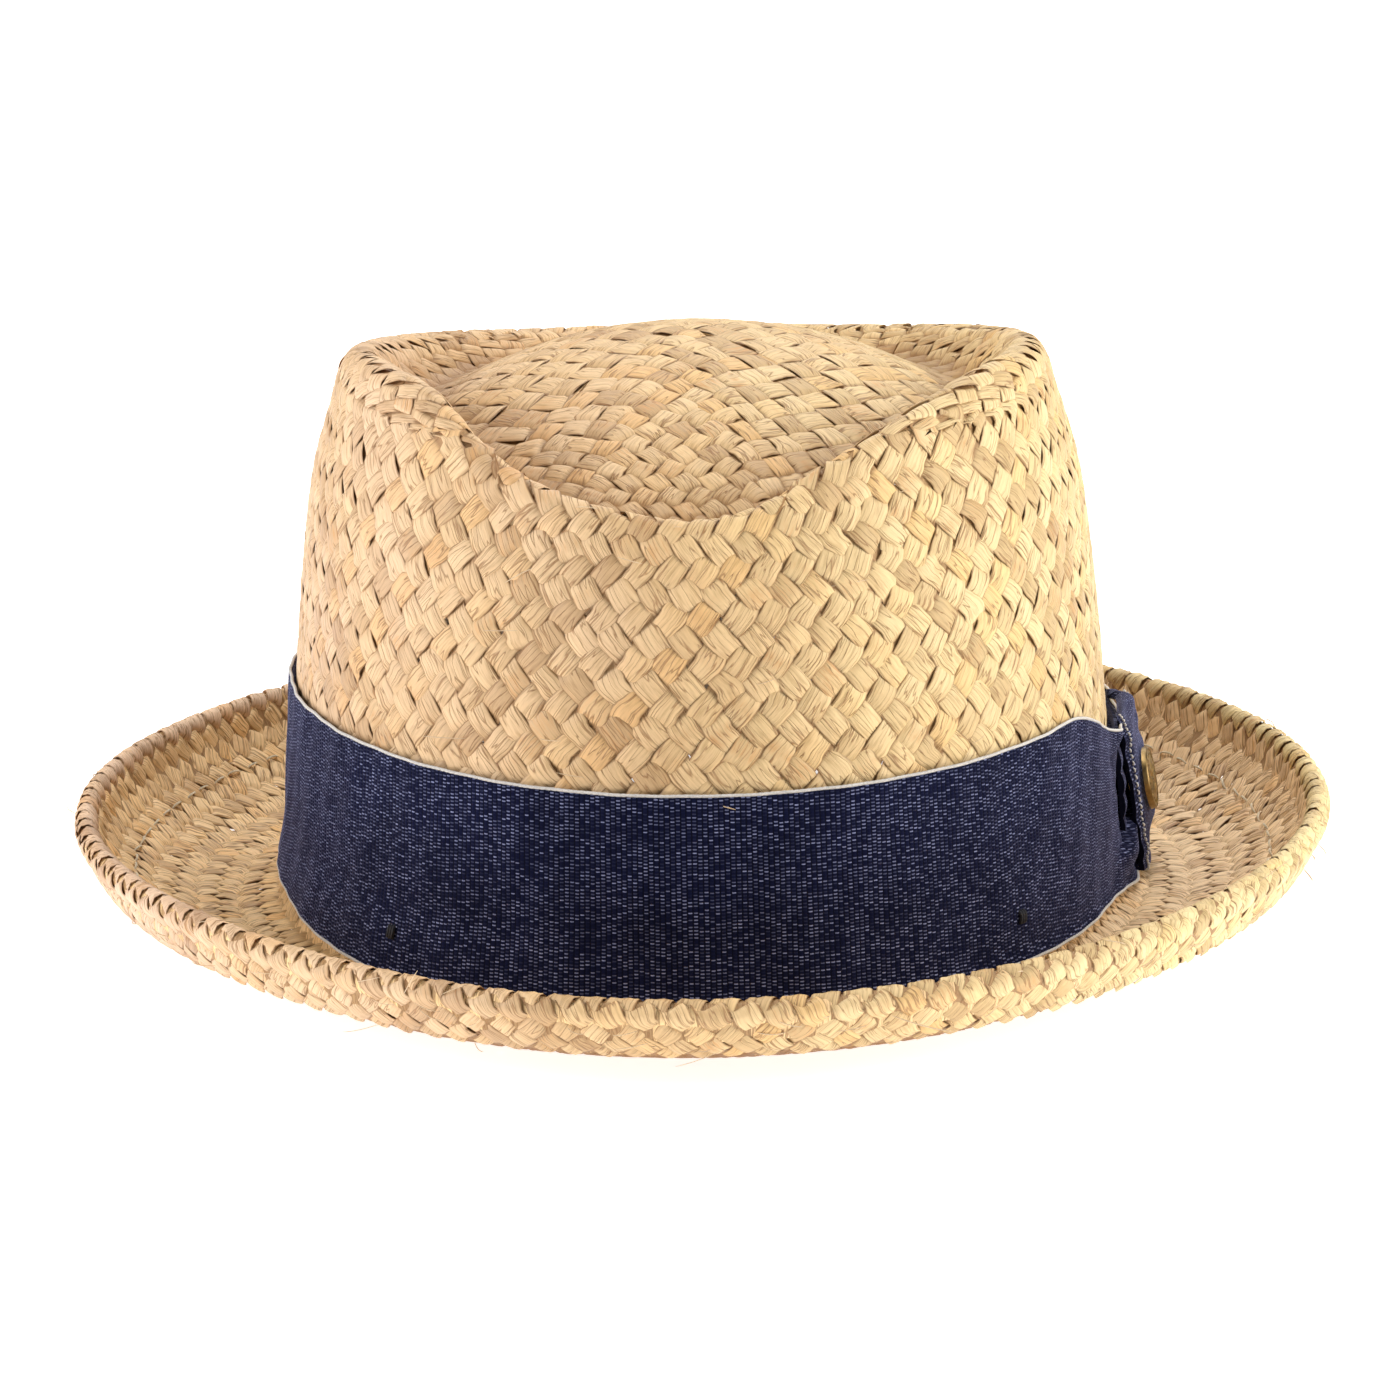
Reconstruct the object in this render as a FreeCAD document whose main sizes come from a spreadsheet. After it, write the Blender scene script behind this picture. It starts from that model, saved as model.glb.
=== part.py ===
import FreeCAD, Part
import Sketcher
import math
import os

# Hand-plaited straw fedora with a short curled brim and a ribbon hatband.
# Millimetres. +Z up, +Y towards the back of the head, +X to the wearer's left,
# origin on the surface that the brim stands on, under the middle of the hat.

doc = FreeCAD.newDocument("straw_fedora")
sheet = doc.addObject("Spreadsheet::Sheet", "Sizes")

DRIVING = [
    ("head_half_width", 89.0, "straw outer face at the headline, across the head"),
    ("head_half_length", 105.0, "straw outer face at the headline, front to back"),
    ("headline", 8.0, "height at which the crown leaves the brim"),
    ("wall_lean", 0.066, "inward lean of the crown wall, mm per mm of height"),
    ("straw", 2.0, "thickness of the plaited straw"),
    ("foot_flare", 5.0, "how far the foot of the crown spreads over the brim"),
    ("brim_width", 45.0, "overhang of the brim, edge braid included"),
    ("edge_top", 20.0, "height of the brim's edge"),
    ("braid_height", 4.0, "height of the braided edge"),
    ("braid_width", 4.4, "width of the braided edge"),
    ("braid_round", 1.4, "rounding of the braided edge"),
    ("hem_height", 9.0, "height of the turned-under hem"),
    ("hem_thick", 1.2, "thickness of the turned-under hem"),
    ("thread", 0.6, "thickness of the sewing thread"),
    ("front_rim", 100.0, "height of the crown's rim at the front pinch"),
    ("dome_top", 121.8, "height of the dome in the middle of the tip"),
    ("rim_inset", 8.5, "from the wall's outer face to the top of the rim"),
    ("moat_inset", 19.0, "from the wall's outer face to the moat round the dome"),
    ("ribbon_height", 40.0, "height of the hatband ribbon"),
    ("ribbon_thick", 1.0, "thickness of the hatband ribbon"),
    ("cord_height", 1.0, "height of the corded selvedge"),
    ("cord_thick", 1.4, "thickness of the corded selvedge"),
    ("gap", 0.15, "play between layers that lie on each other"),
    ("bow_half_width", 17.0, "half width of the gathered ribbon at the bow"),
    ("keeper_half_width", 12.0, "half width of the bow's keeper"),
    ("keeper_face", 7.5, "from the straw to the keeper's face, along the stud"),
    ("keeper_reach", 8.2, "most the keeper stands off the straw"),
    ("keeper_cloth", 1.8, "thickness of the keeper's outer cloth"),
    ("keeper_low", 4.0, "height of the keeper's lower end"),
    ("keeper_top", 38.0, "height of the keeper's upper end"),
    ("seam_inset", 2.2, "from the keeper's edge to the inner side of its seam"),
    ("bow_face", 2.6, "from the straw to the face of the gathered ribbon"),
    ("stud_height", 20.0, "height where the stud's axis leaves the straw"),
    ("stud_tilt", 10.0, "turn of the stud toward the hat's front, in degrees"),
    ("stud_lean", 10.0, "upward lean of the stud, in degrees"),
    ("stud_radius", 6.8, "radius of the brass stud"),
    ("stud_thick", 1.5, "thickness of the stud"),
    ("stud_round", 0.9, "rounding of the stud's edge"),
    ("post_radius", 1.2, "radius of the stud's post"),
    ("running", 0.1, "radial play round the stud's post"),
    ("stud_play", 0.3, "play under the stud and each side of its washer"),
    ("washer_radius", 4.5, "radius of the stud's washer"),
    ("washer_thick", 0.6, "thickness of the stud's washer"),
    ("sweatband_height", 35.0, "height of the sweatband"),
    ("sweatband_thick", 0.9, "thickness of the sweatband"),
    ("reed_height", 1.6, "height of the reed along the sweatband's lower edge"),
    ("reed_proud", 0.6, "how far the reed stands in from the sweatband"),
    ("sewing_rise", 3.2, "from the reed's foot to the sweatband's sewing"),
    ("label_side", 12.0, "from the back seam to the size label"),
    ("label_width", 24.0, "width of the blank size label"),
    ("label_height", 16.0, "height of the blank size label"),
    ("tape_width", 12.0, "width of the tape over the sweatband's back seam"),
]

for row, (alias, value, meaning) in enumerate(DRIVING, start=1):
    sheet.set("A%d" % row, meaning)
    sheet.set("B%d" % row, str(value))
    sheet.setAlias("B%d" % row, alias)
doc.recompute()


def size(alias):
    """Value of a driving dimension."""
    return float(sheet.get(alias))


def cell(alias):
    """Name of a driving dimension in an expression."""
    return "Sizes." + alias


# ---------------------------------------------------------------- helpers

def ring(name, height, offset):
    """Oval round the head, offset from the straw's outer face at the headline."""
    oval = doc.addObject("Part::Ellipse", name)
    oval.Placement = FreeCAD.Placement(
        FreeCAD.Vector(0, 0, 0), FreeCAD.Rotation(FreeCAD.Vector(0, 0, 1), 90))
    oval.setExpression("MajorRadius", "%s + (%s)" % (cell("head_half_length"), offset))
    oval.setExpression("MinorRadius", "%s + (%s)" % (cell("head_half_width"), offset))
    oval.setExpression("Placement.Base.z", height)
    return oval


def stack(name, stations, ruled):
    """Solid through ovals, each given by its height and its offset."""
    loft = doc.addObject("Part::Loft", name)
    rings = []
    for number, (height, offset) in enumerate(stations):
        rings.append(ring("%s_oval_%d" % (name, number), height, offset))
    loft.Sections = rings
    loft.Solid = True
    loft.Ruled = ruled
    return loft


def cut(name, base, tool):
    """The base without the tool."""
    result = doc.addObject("Part::Cut", name)
    result.Base = base
    result.Tool = tool
    return result


def common(name, base, tool):
    """What the two hold in common."""
    result = doc.addObject("Part::Common", name)
    result.Base = base
    result.Tool = tool
    return result


def leaning(height, offset):
    """Station on the leaning crown wall, at an offset from the straw."""
    lean = "(%s) - %s * ((%s) - %s)" % (
        offset, cell("wall_lean"), height, cell("headline"))
    return (height, lean)


def band(name, bottom, top, inner, outer):
    """Band round the leaning crown wall."""
    outside = stack(name + "_outside", [leaning(bottom, outer), leaning(top, outer)], True)
    under = "(%s) - 1" % bottom
    over = "(%s) + 1" % top
    inside = stack(name + "_inside", [leaning(under, inner), leaning(over, inner)], True)
    return cut(name, outside, inside)


def block(name, low, high):
    """Box between two corners, each given as three expressions."""
    box = doc.addObject("Part::Box", name)
    for axis, extent, start, end in zip("xyz", ("Length", "Width", "Height"), low, high):
        box.setExpression("Placement.Base." + axis, start)
        box.setExpression(extent, "(%s) - (%s)" % (end, start))
    return box


def patch(name, low, high, inner, outer):
    """Piece of a band inside a block."""
    whole = band(name + "_band", low[2], high[2], inner, outer)
    return common(name, whole, block(name + "_block", low, high))


# ---------------------------------------------------------------- crown

HEADLINE = size("headline")
STRAW = size("straw")
WALL_END = HEADLINE + size("ribbon_height")
DOME_SIDE_FALL = 0.005
DOME_FRONT_FALL = 0.0036
DOME_BACK_FALL = 0.0033
SHOULDER_FALL = 0.0009
RIM_LIP = 7.0
RIDGE_CRISPNESS = 0.4
DOME_SHARES = (1.0, 0.84, 0.66, 0.48, 0.32, 0.18, 0.08)
CREST_DROP = 0.1
RIM_LIFT = 1.2
RIM_ROLL = ((0.6, 11.0, 1.0), (1.6, 6.0, 0.9), (4.0, 1.2, 0.6), (8.5, 0.0, 0.0))
RIM_FALL = ((12.0, 0.2, -0.6), (15.5, 0.7, -0.9))
LEANING_SHARES = (0.15, 0.32, 0.5, 0.68)
FOOT_FLARE = ((STRAW, 1.0), (2.6, 0.6), (4.0, 0.25), (6.0, 0.04))
STRAIGHT_SHARES = (0.0, 0.12, 0.3, 0.5, 0.7, 0.88, 1.0)
RING_POINTS = 36

# Rise of the rim above the front pinch, at angles from the wearer's left round by the back.
RIM_LINE = ((0, 18.0), (26, 13.0), (45, 9.0), (65, 6.0), (90, 5.5), (115, 6.5), (135, 9.8),
            (156, 14.0), (180, 18.5), (202, 21.5), (222, 20.0), (237, 9.5), (249, 4.0),
            (261, 1.0), (269, 0.0), (278, 2.0), (290, 9.5), (303, 16.0), (319, 20.5),
            (342, 20.5))

# A smooth closed curve runs inside its control points by this much.
POLE_SPREAD = 1 / (1 - (1 - math.cos(2 * math.pi / RING_POINTS)) / 3)


def wall_inset(height):
    """How far the crown wall has come in at a height."""
    above = max(0.0, height - HEADLINE - size("ribbon_height"))
    return size("wall_lean") * (height - HEADLINE) + SHOULDER_FALL * above ** 2


def dome_foot(x, y):
    """Height at which the dome would meet a point of the plan."""
    fall = DOME_FRONT_FALL if y < 0 else DOME_BACK_FALL
    return size("dome_top") - DOME_SIDE_FALL * x ** 2 - fall * y ** 2


def rim_height(angle):
    """Height of the crown's rim: peaks at the front corners, a pinch between, low at the back."""
    degrees = math.degrees(angle) % 360
    count = len(RIM_LINE)
    line = [(RIM_LINE[k % count][0] + 360 * (k // count), RIM_LINE[k % count][1])
            for k in range(-2, count + 3)]
    start = max(k for k in range(1, count + 3) if line[k][0] <= degrees)
    (before, low), (here, rise), (after, next_rise), (beyond, high) = line[start - 1:start + 3]
    span = after - here
    share = (degrees - here) / span
    leaving = (next_rise - low) / (after - before) * span
    arriving = (high - rise) / (beyond - here) * span
    curve = ((2 * share ** 3 - 3 * share ** 2 + 1) * rise
             + (share ** 3 - 2 * share ** 2 + share) * leaving
             + (3 * share ** 2 - 2 * share ** 3) * next_rise
             + (share ** 3 - share ** 2) * arriving)
    return size("front_rim") + curve


def roll_width(angle):
    """Share of its width that the rolled rim keeps: the front ridge is crisp."""
    return 1 - RIDGE_CRISPNESS * max(0.0, -math.sin(angle)) ** 2


def plan_point(angle, inset, height):
    """Point on the oval that lies an inset inside the headline."""
    x = (size("head_half_width") - inset) * POLE_SPREAD * math.cos(angle)
    y = (size("head_half_length") - inset) * POLE_SPREAD * math.sin(angle)
    return FreeCAD.Vector(x, y, height)


def skin_face(rings):
    """Smooth closed face drawn by rings of control points, from the lowest ring on."""
    count = len(rings)
    face = Part.BSplineSurface()
    face.buildFromPolesMultsKnots(
        rings, [4] + [1] * (count - 4) + [4], [1] * (RING_POINTS + 1),
        list(range(count - 2)), list(range(RING_POINTS + 1)), False, True, 3, 3)
    return face.toShape()


def end_wires(face):
    """Lowest and highest closed edges of a skin, as wires."""
    closed = [edge for edge in face.Edges if edge.isClosed()]
    closed.sort(key=lambda edge: edge.BoundBox.ZMin)
    return Part.Wire([closed[0]]), Part.Wire([closed[-1]])


def moat_point(angle):
    """Lowest line between the rim and the dome."""
    rim = rim_height(angle)
    point = plan_point(angle, wall_inset(rim) + size("moat_inset") * roll_width(angle), 0)
    point.z = min(dome_foot(point.x, point.y), rim - RIM_LIP)
    return point


def crown_rings(depth):
    """Rings of control points of the crown's skin, at a depth inside its outer face."""
    turn = [2 * math.pi * number / RING_POINTS for number in range(RING_POINTS)]
    rings = []

    # The foot flares over the brim.
    for height, spread in FOOT_FLARE:
        inset = depth - spread * size("foot_flare")
        rings.append([plan_point(angle, inset, height) for angle in turn])

    # The wall is straight as far as the ribbon's upper edge.
    for share in STRAIGHT_SHARES:
        height = HEADLINE + share * (WALL_END - HEADLINE)
        rings.append([plan_point(angle, wall_inset(height) + depth, height) for angle in turn])

    # Above it the wall leans in, and follows the rim's height.
    for share in LEANING_SHARES:
        ring_points = []
        for angle in turn:
            height = WALL_END + share * (rim_height(angle) - WALL_END)
            ring_points.append(plan_point(angle, wall_inset(height) + depth, height))
        rings.append(ring_points)

    # The rim rolls over: inset and drop from the top of the wall.
    for inset, drop, inward in RIM_ROLL:
        ring_points = []
        for angle in turn:
            rim = rim_height(angle)
            height = rim + RIM_LIFT - drop - (1 - 0.7 * inward) * depth
            rolled = inset * roll_width(angle) + inward * depth
            ring_points.append(plan_point(angle, wall_inset(rim) + rolled, height))
        rings.append(ring_points)

    # Inside the rim the skin falls into the moat.
    for inset, fall, inward in RIM_FALL:
        ring_points = []
        for angle in turn:
            rim = rim_height(angle)
            height = rim + RIM_LIFT - fall * (rim - moat_point(angle).z) - 0.5 * depth
            rolled = inset * roll_width(angle) + inward * depth
            ring_points.append(plan_point(angle, wall_inset(rim) + rolled, height))
        rings.append(ring_points)

    # From the moat it climbs the dome, which ends in a small level oval.
    for share in DOME_SHARES:
        ring_points = []
        for angle in turn:
            edge = moat_point(angle)
            height = size("dome_top") - share ** 2 * (size("dome_top") - edge.z)
            if share == DOME_SHARES[-1]:
                height = size("dome_top") - CREST_DROP
            ring_points.append(FreeCAD.Vector(edge.x * share, edge.y * share, height - depth))
        rings.append(ring_points)
    return rings


# The shell is sewn from both skins, their crests and the ring that it stands on.
outer_skin = skin_face(crown_rings(0.0))
inner_skin = skin_face(crown_rings(STRAW))
outer_foot, outer_crest = end_wires(outer_skin)
inner_foot, inner_crest = end_wires(inner_skin)
sole = Part.Face(outer_foot).cut(Part.Face(inner_foot)).Faces[0]
crown_shell = Part.Shell([outer_skin, Part.Face(outer_crest), inner_skin,
                          Part.Face(inner_crest), sole])
crown_shell.sewShape()
crown = doc.addObject("Part::Feature", "crown")
crown.Shape = Part.Solid(crown_shell)

# ---------------------------------------------------------------- brim

EDGE = cell("brim_width")
WALL_TOP = "%s - %s" % (cell("edge_top"), cell("braid_height"))

# Shares of the brim's width and of its wall's height, from the flat to the edge.
BRIM_CURVE = ((0.35, 0.0), (0.50, 0.06), (0.67, 0.24), (0.84, 0.56), (0.94, 1.0))


def brim_stations(outward, upward):
    """Stations of the brim's curl, moved out and up from its underside."""
    stations = []
    for across, rise in BRIM_CURVE:
        height = "(%s) * %g + (%s)" % (WALL_TOP, rise, upward)
        stations.append((height, "%s * %g + (%s)" % (EDGE, across, outward)))
    return stations


brim_outside = stack("brim_outside", brim_stations("0", "0"), False)
hollow_out = "-%s * 0.9" % cell("straw")
brim_hollow = stack("brim_hollow", brim_stations(hollow_out, cell("straw") + " * 0.98"), False)
brim_dish = cut("brim_dish", brim_outside, brim_hollow)
brim_hole = stack("brim_hole", [("-1", "%s - 3" % cell("foot_flare")),
                                (cell("headline"), "%s - 3" % cell("foot_flare"))], True)
brim = cut("brim", brim_dish, brim_hole)

# The hem is the edge turned under and sewn, outside the brim's steep wall.
hem_outside = stack("hem_outside", brim_stations(cell("hem_thick"), "0"), False)
hem_whole = cut("hem_whole", hem_outside, brim_outside)
hem_floor = "(%s) - %s" % (WALL_TOP, cell("hem_height"))
far = "%s + 60" % cell("head_half_length")
hem_block = block("hem_block", ["-(%s)" % far, "-(%s)" % far, hem_floor], [far, far, WALL_TOP])
brim_hem = common("brim_hem", hem_whole, hem_block)

# The braid sits on the top of the brim's wall and of its hem.
braid_outside = stack("braid_outside", [(WALL_TOP, EDGE), (cell("edge_top"), EDGE)], True)
braid_inner = "%s - %s" % (EDGE, cell("braid_width"))
braid_core = stack("braid_core", [("(%s) - 1" % WALL_TOP, braid_inner),
                                  ("%s + 1" % cell("edge_top"), braid_inner)], True)
braid_square = cut("braid_square", braid_outside, braid_core)
brim_edge_braid = doc.addObject("Part::Fillet", "brim_edge_braid")
brim_edge_braid.Base = braid_square
doc.recompute()
BRAID_ROUND = size("braid_round")
top_edges = []
for number, edge in enumerate(braid_square.Shape.Edges, start=1):
    box = edge.BoundBox
    if box.ZMin > size("edge_top") - 0.1:
        top_edges.append((number, BRAID_ROUND, BRAID_ROUND))
brim_edge_braid.Edges = top_edges

# ---------------------------------------------------------------- hatband

BAND_LOW = cell("headline")
BAND_TOP = "%s + %s" % (cell("headline"), cell("ribbon_height"))
CORD = cell("cord_height")
GAP = cell("gap")
hatband = band("hatband", "%s + %s" % (BAND_LOW, CORD), "%s - %s" % (BAND_TOP, CORD),
               GAP, "%s + %s" % (GAP, cell("ribbon_thick")))
CORD_FACE = "%s + %s" % (GAP, cell("cord_thick"))
hatband_lower_cord = band("hatband_lower_cord", BAND_LOW, "%s + %s" % (BAND_LOW, CORD),
                          GAP, CORD_FACE)
hatband_upper_cord = band("hatband_upper_cord", "%s - %s" % (BAND_TOP, CORD), BAND_TOP,
                          GAP, CORD_FACE)

# The bow: ribbon gathered in pleats, held under an upright keeper.
NEAR = cell("head_half_width") + " - 20"
FAR = cell("head_half_width") + " + 20"
BOW_BACK = "%s + %s + %s" % (CORD_FACE, GAP, "0.05")
BOW = cell("bow_half_width")
KEEPER = cell("keeper_half_width")
bow_gather = patch("bow_gather",
                   [NEAR, "-" + BOW, "%s + 1.5" % BAND_LOW],
                   [FAR, BOW, "%s - 8" % BAND_TOP], BOW_BACK, cell("bow_face"))

keeper_low = cell("keeper_low")
keeper_top = cell("keeper_top")
STUD_REACH = size("head_half_width") - size("wall_lean") * (size("stud_height") - HEADLINE)
STUD_FOOT = FreeCAD.Vector(STUD_REACH, 0, size("stud_height"))
FACE_TURN = (FreeCAD.Rotation(FreeCAD.Vector(0, 0, 1), -size("stud_tilt"))
             * FreeCAD.Rotation(FreeCAD.Vector(0, 1, 0), -size("stud_lean")))
STUD_AXIS = FACE_TURN.multVec(FreeCAD.Vector(1, 0, 0))
STUD_TURN = FACE_TURN * FreeCAD.Rotation(FreeCAD.Vector(0, 1, 0), 90)
FACE_DEPTH = 20
FACE_SPAN = 80


def on_stud_axis(distance):
    """Placement on the stud's axis, a distance out from the straw."""
    return FreeCAD.Placement(STUD_FOOT + STUD_AXIS * distance, STUD_TURN)


def rod(name, radius, length, distance):
    """Cylinder on the stud's axis."""
    cylinder = doc.addObject("Part::Cylinder", name)
    cylinder.setExpression("Radius", radius)
    cylinder.setExpression("Height", length)
    cylinder.Placement = on_stud_axis(distance)
    return cylinder


def behind_face(name, body, distance):
    """What of the body lies behind a plane square to the stud's axis."""
    slab = doc.addObject("Part::Box", name + "_slab")
    slab.setExpression("Length", "%s + (%s)" % (FACE_DEPTH, distance))
    slab.Width = FACE_SPAN
    slab.Height = FACE_SPAN
    corner = FreeCAD.Vector(-FACE_DEPTH, -FACE_SPAN / 2, -FACE_SPAN / 2)
    slab.Placement = FreeCAD.Placement(STUD_FOOT + FACE_TURN.multVec(corner), FACE_TURN)
    return common(name, body, slab)


KEEPER_BACK = "%s + 0.05" % cell("bow_face")
CLOTH = cell("keeper_cloth")
keeper_block = patch("keeper_block", [NEAR, "-" + KEEPER, keeper_low],
                     [FAR, KEEPER, keeper_top], KEEPER_BACK, cell("keeper_reach"))
keeper_whole = behind_face("keeper_whole", keeper_block, cell("keeper_face"))
pocket_half = "%s - 3" % KEEPER
pocket_block = patch("pocket_block", [NEAR, "-(%s)" % pocket_half, "%s + 4" % keeper_low],
                     [FAR, pocket_half, "%s - 4" % keeper_top], BOW_BACK,
                     "%s - %s" % (cell("keeper_reach"), CLOTH))
keeper_pocket = behind_face("keeper_pocket", pocket_block,
                            "%s - %s" % (cell("keeper_face"), CLOTH))
keeper_folded = cut("keeper_folded", keeper_whole, keeper_pocket)
eyelet = rod("eyelet", "%s + %s" % (cell("post_radius"), cell("running")), "10",
             size("bow_face") - 0.5)
bow_keeper = cut("bow_keeper", keeper_folded, eyelet)

# Two rows of thread, one down each side of the keeper.
SEAM = cell("seam_inset")
THREAD = cell("thread")
seam_rows = []
for side, near, far_side in (
        ("left", "%s - %s" % (KEEPER, SEAM), "%s - %s + %s" % (KEEPER, SEAM, THREAD)),
        ("right", "%s - %s - %s" % (SEAM, THREAD, KEEPER), "%s - %s" % (SEAM, KEEPER))):
    strip = patch("seam_strip_" + side, [NEAR, near, "%s + 2" % keeper_low],
                  [FAR, far_side, "%s - 2" % keeper_top], KEEPER_BACK,
                  "%s + %s" % (cell("keeper_reach"), THREAD))
    raised = behind_face("seam_raised_" + side, strip,
                         "%s + %s" % (cell("keeper_face"), THREAD))
    seam_rows.append(cut("seam_" + side, raised, keeper_whole))
keeper_stitching = doc.addObject("Part::Compound", "keeper_stitching")
keeper_stitching.Links = seam_rows

# Two short tacks hold the ribbon to the straw near its lower edge.
TACK_ANGLE = math.radians(46)
TACK_SIZE = (0.6, 1.0, 3.0)
TACK_HEIGHT = 13.0
tacks = []
for side in (-1, 1):
    face = size("gap") + size("ribbon_thick") - size("wall_lean") * (TACK_HEIGHT - HEADLINE)
    across = (size("head_half_width") + face) * math.cos(TACK_ANGLE)
    along = (size("head_half_length") + face) * math.sin(TACK_ANGLE)
    facing = math.atan2(math.sin(TACK_ANGLE) * size("head_half_width"),
                        math.cos(TACK_ANGLE) * size("head_half_length"))
    tack = doc.addObject("Part::Box", "tack_%s" % ("left" if side < 0 else "right"))
    tack.Length, tack.Width, tack.Height = TACK_SIZE
    turn = FreeCAD.Rotation(FreeCAD.Vector(0, 0, 1),
                            -math.degrees(facing) if side > 0 else 180 + math.degrees(facing))
    corner = turn.multVec(FreeCAD.Vector(0.1, -TACK_SIZE[1] / 2, 0))
    tack.Placement = FreeCAD.Placement(
        FreeCAD.Vector(side * across, -along, TACK_HEIGHT - TACK_SIZE[2] / 2) + corner, turn)
    tacks.append(tack)
tack_stitches = doc.addObject("Part::Compound", "tack_stitches")
tack_stitches.Links = tacks

# ---------------------------------------------------------------- stud

WASHER_DIP = size("washer_radius") * math.tan(math.radians(
    size("stud_tilt") + size("stud_lean")))
WASHER_AT = size("bow_face") + size("stud_play") + WASHER_DIP - 0.4
CAP_AT = size("keeper_face") + size("stud_play") + 0.15

stud_cap = doc.addObject("PartDesign::Body", "stud_cap")
plane = [item for item in stud_cap.Origin.OriginFeatures if item.Role == "XY_Plane"][0]
cap_sketch = stud_cap.newObject("Sketcher::SketchObject", "stud_cap_outline")
cap_sketch.AttachmentSupport = [(plane, "")]
cap_sketch.MapMode = "FlatFace"
cap_sketch.addGeometry(Part.Circle(FreeCAD.Vector(0, 0, 0), FreeCAD.Vector(0, 0, 1),
                                   size("stud_radius")))
cap_sketch.addConstraint(Sketcher.Constraint("Coincident", 0, 3, -1, 1))
cap_sketch.addConstraint(Sketcher.Constraint("Radius", 0, size("stud_radius")))
cap_sketch.setExpression("Constraints[1]", cell("stud_radius"))
cap_pad = stud_cap.newObject("PartDesign::Pad", "stud_cap_disc")
cap_pad.Profile = cap_sketch
cap_pad.setExpression("Length", cell("stud_thick"))
doc.recompute()
crown_edge = max(range(len(cap_pad.Shape.Edges)),
                 key=lambda number: cap_pad.Shape.Edges[number].BoundBox.ZMin)
cap_fillet = stud_cap.newObject("PartDesign::Fillet", "stud_cap_round")
cap_fillet.Base = (cap_pad, ["Edge%d" % (crown_edge + 1)])
cap_fillet.setExpression("Radius", cell("stud_round"))
stud_cap.Tip = cap_fillet
stud_cap.Placement = on_stud_axis(CAP_AT)

stud_post = rod("stud_post", cell("post_radius"), str(CAP_AT - WASHER_AT), WASHER_AT)
washer_disc = rod("washer_disc", cell("washer_radius"), cell("washer_thick"), WASHER_AT)
washer_hole = rod("washer_hole", cell("post_radius"), "%s * 3" % cell("washer_thick"),
                  WASHER_AT - size("washer_thick"))
stud_washer = cut("stud_washer", washer_disc, washer_hole)

# ---------------------------------------------------------------- inside

INNER = "-%s - %s" % (cell("straw"), GAP)
BAND_FACE = "%s - %s" % (INNER, cell("sweatband_thick"))
SWEAT_LOW = "%s - 1" % cell("headline")
REED_TOP = "%s + %s" % (SWEAT_LOW, cell("reed_height"))
SEWING = "%s + %s" % (SWEAT_LOW, cell("sewing_rise"))
SWEAT_TOP = "%s + %s" % (SWEAT_LOW, cell("sweatband_height"))
sweatband = band("sweatband", REED_TOP, SWEAT_TOP, BAND_FACE, INNER)
sweatband_reed = band("sweatband_reed", SWEAT_LOW, REED_TOP,
                      "%s - %s" % (BAND_FACE, cell("reed_proud")), INNER)
sweatband_stitching = band("sweatband_stitching", SEWING, "%s + %s" % (SEWING, cell("thread")),
                           "%s - %s" % (BAND_FACE, cell("thread")), BAND_FACE)

BACK_NEAR = cell("head_half_length") + " - 20"
BACK_FAR = cell("head_half_length")
TAPE = cell("tape_width") + " / 2"
sweatband_seam_tape = patch("sweatband_seam_tape",
                            ["-" + TAPE, BACK_NEAR, "%s + 5" % SWEAT_LOW],
                            [TAPE, BACK_FAR, "%s - 1" % SWEAT_TOP],
                            "%s - 0.7" % BAND_FACE, "%s - 0.05" % BAND_FACE)
LABEL_NEAR = cell("label_side")
size_label = patch("size_label",
                   [LABEL_NEAR, BACK_NEAR, "%s + 9" % SWEAT_LOW],
                   ["%s + %s" % (LABEL_NEAR, cell("label_width")), BACK_FAR,
                    "%s + 9 + %s" % (SWEAT_LOW, cell("label_height"))],
                   "%s - 0.6" % BAND_FACE, "%s - 0.05" % BAND_FACE)

# Thread along the top of the hem, sewn through from the brim's upper face.
STITCH_SHARE = 0.74
doc.recompute()
STITCH_OFFSET = size("brim_width") * STITCH_SHARE
stitch_x = size("head_half_width") + STITCH_OFFSET
probe = Part.makeLine(FreeCAD.Vector(stitch_x, 0, -5), FreeCAD.Vector(stitch_x, 0, 40))
stitch_height = max(vertex.Point.z for vertex in brim.Shape.common(probe).Vertexes)
brim_stitching = cut(
    "brim_stitching",
    stack("thread_outside", [(str(stitch_height + 0.45), str(STITCH_OFFSET)),
                             (str(stitch_height + 1.05), str(STITCH_OFFSET))], True),
    stack("thread_inside", [(str(stitch_height - 1), str(STITCH_OFFSET - size("thread"))),
                            (str(stitch_height + 3), str(STITCH_OFFSET - size("thread")))], True))

# ---------------------------------------------------------------- output

SUBPARTS = [
    crown, brim, brim_hem, brim_edge_braid, brim_stitching,
    hatband, hatband_lower_cord, hatband_upper_cord, tack_stitches,
    bow_gather, bow_keeper, keeper_stitching,
    stud_cap, stud_post, stud_washer,
    sweatband, sweatband_reed, sweatband_stitching, sweatband_seam_tape, size_label,
]

doc.recompute()
for item in doc.Objects:
    if "Invalid" in item.State or "Error" in item.State:
        raise RuntimeError("object failed: %s %s" % (item.Name, item.State))
for item in SUBPARTS:
    if item.Shape.isNull() or not item.Shape.isValid():
        raise RuntimeError("bad shape: " + item.Label)

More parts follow.
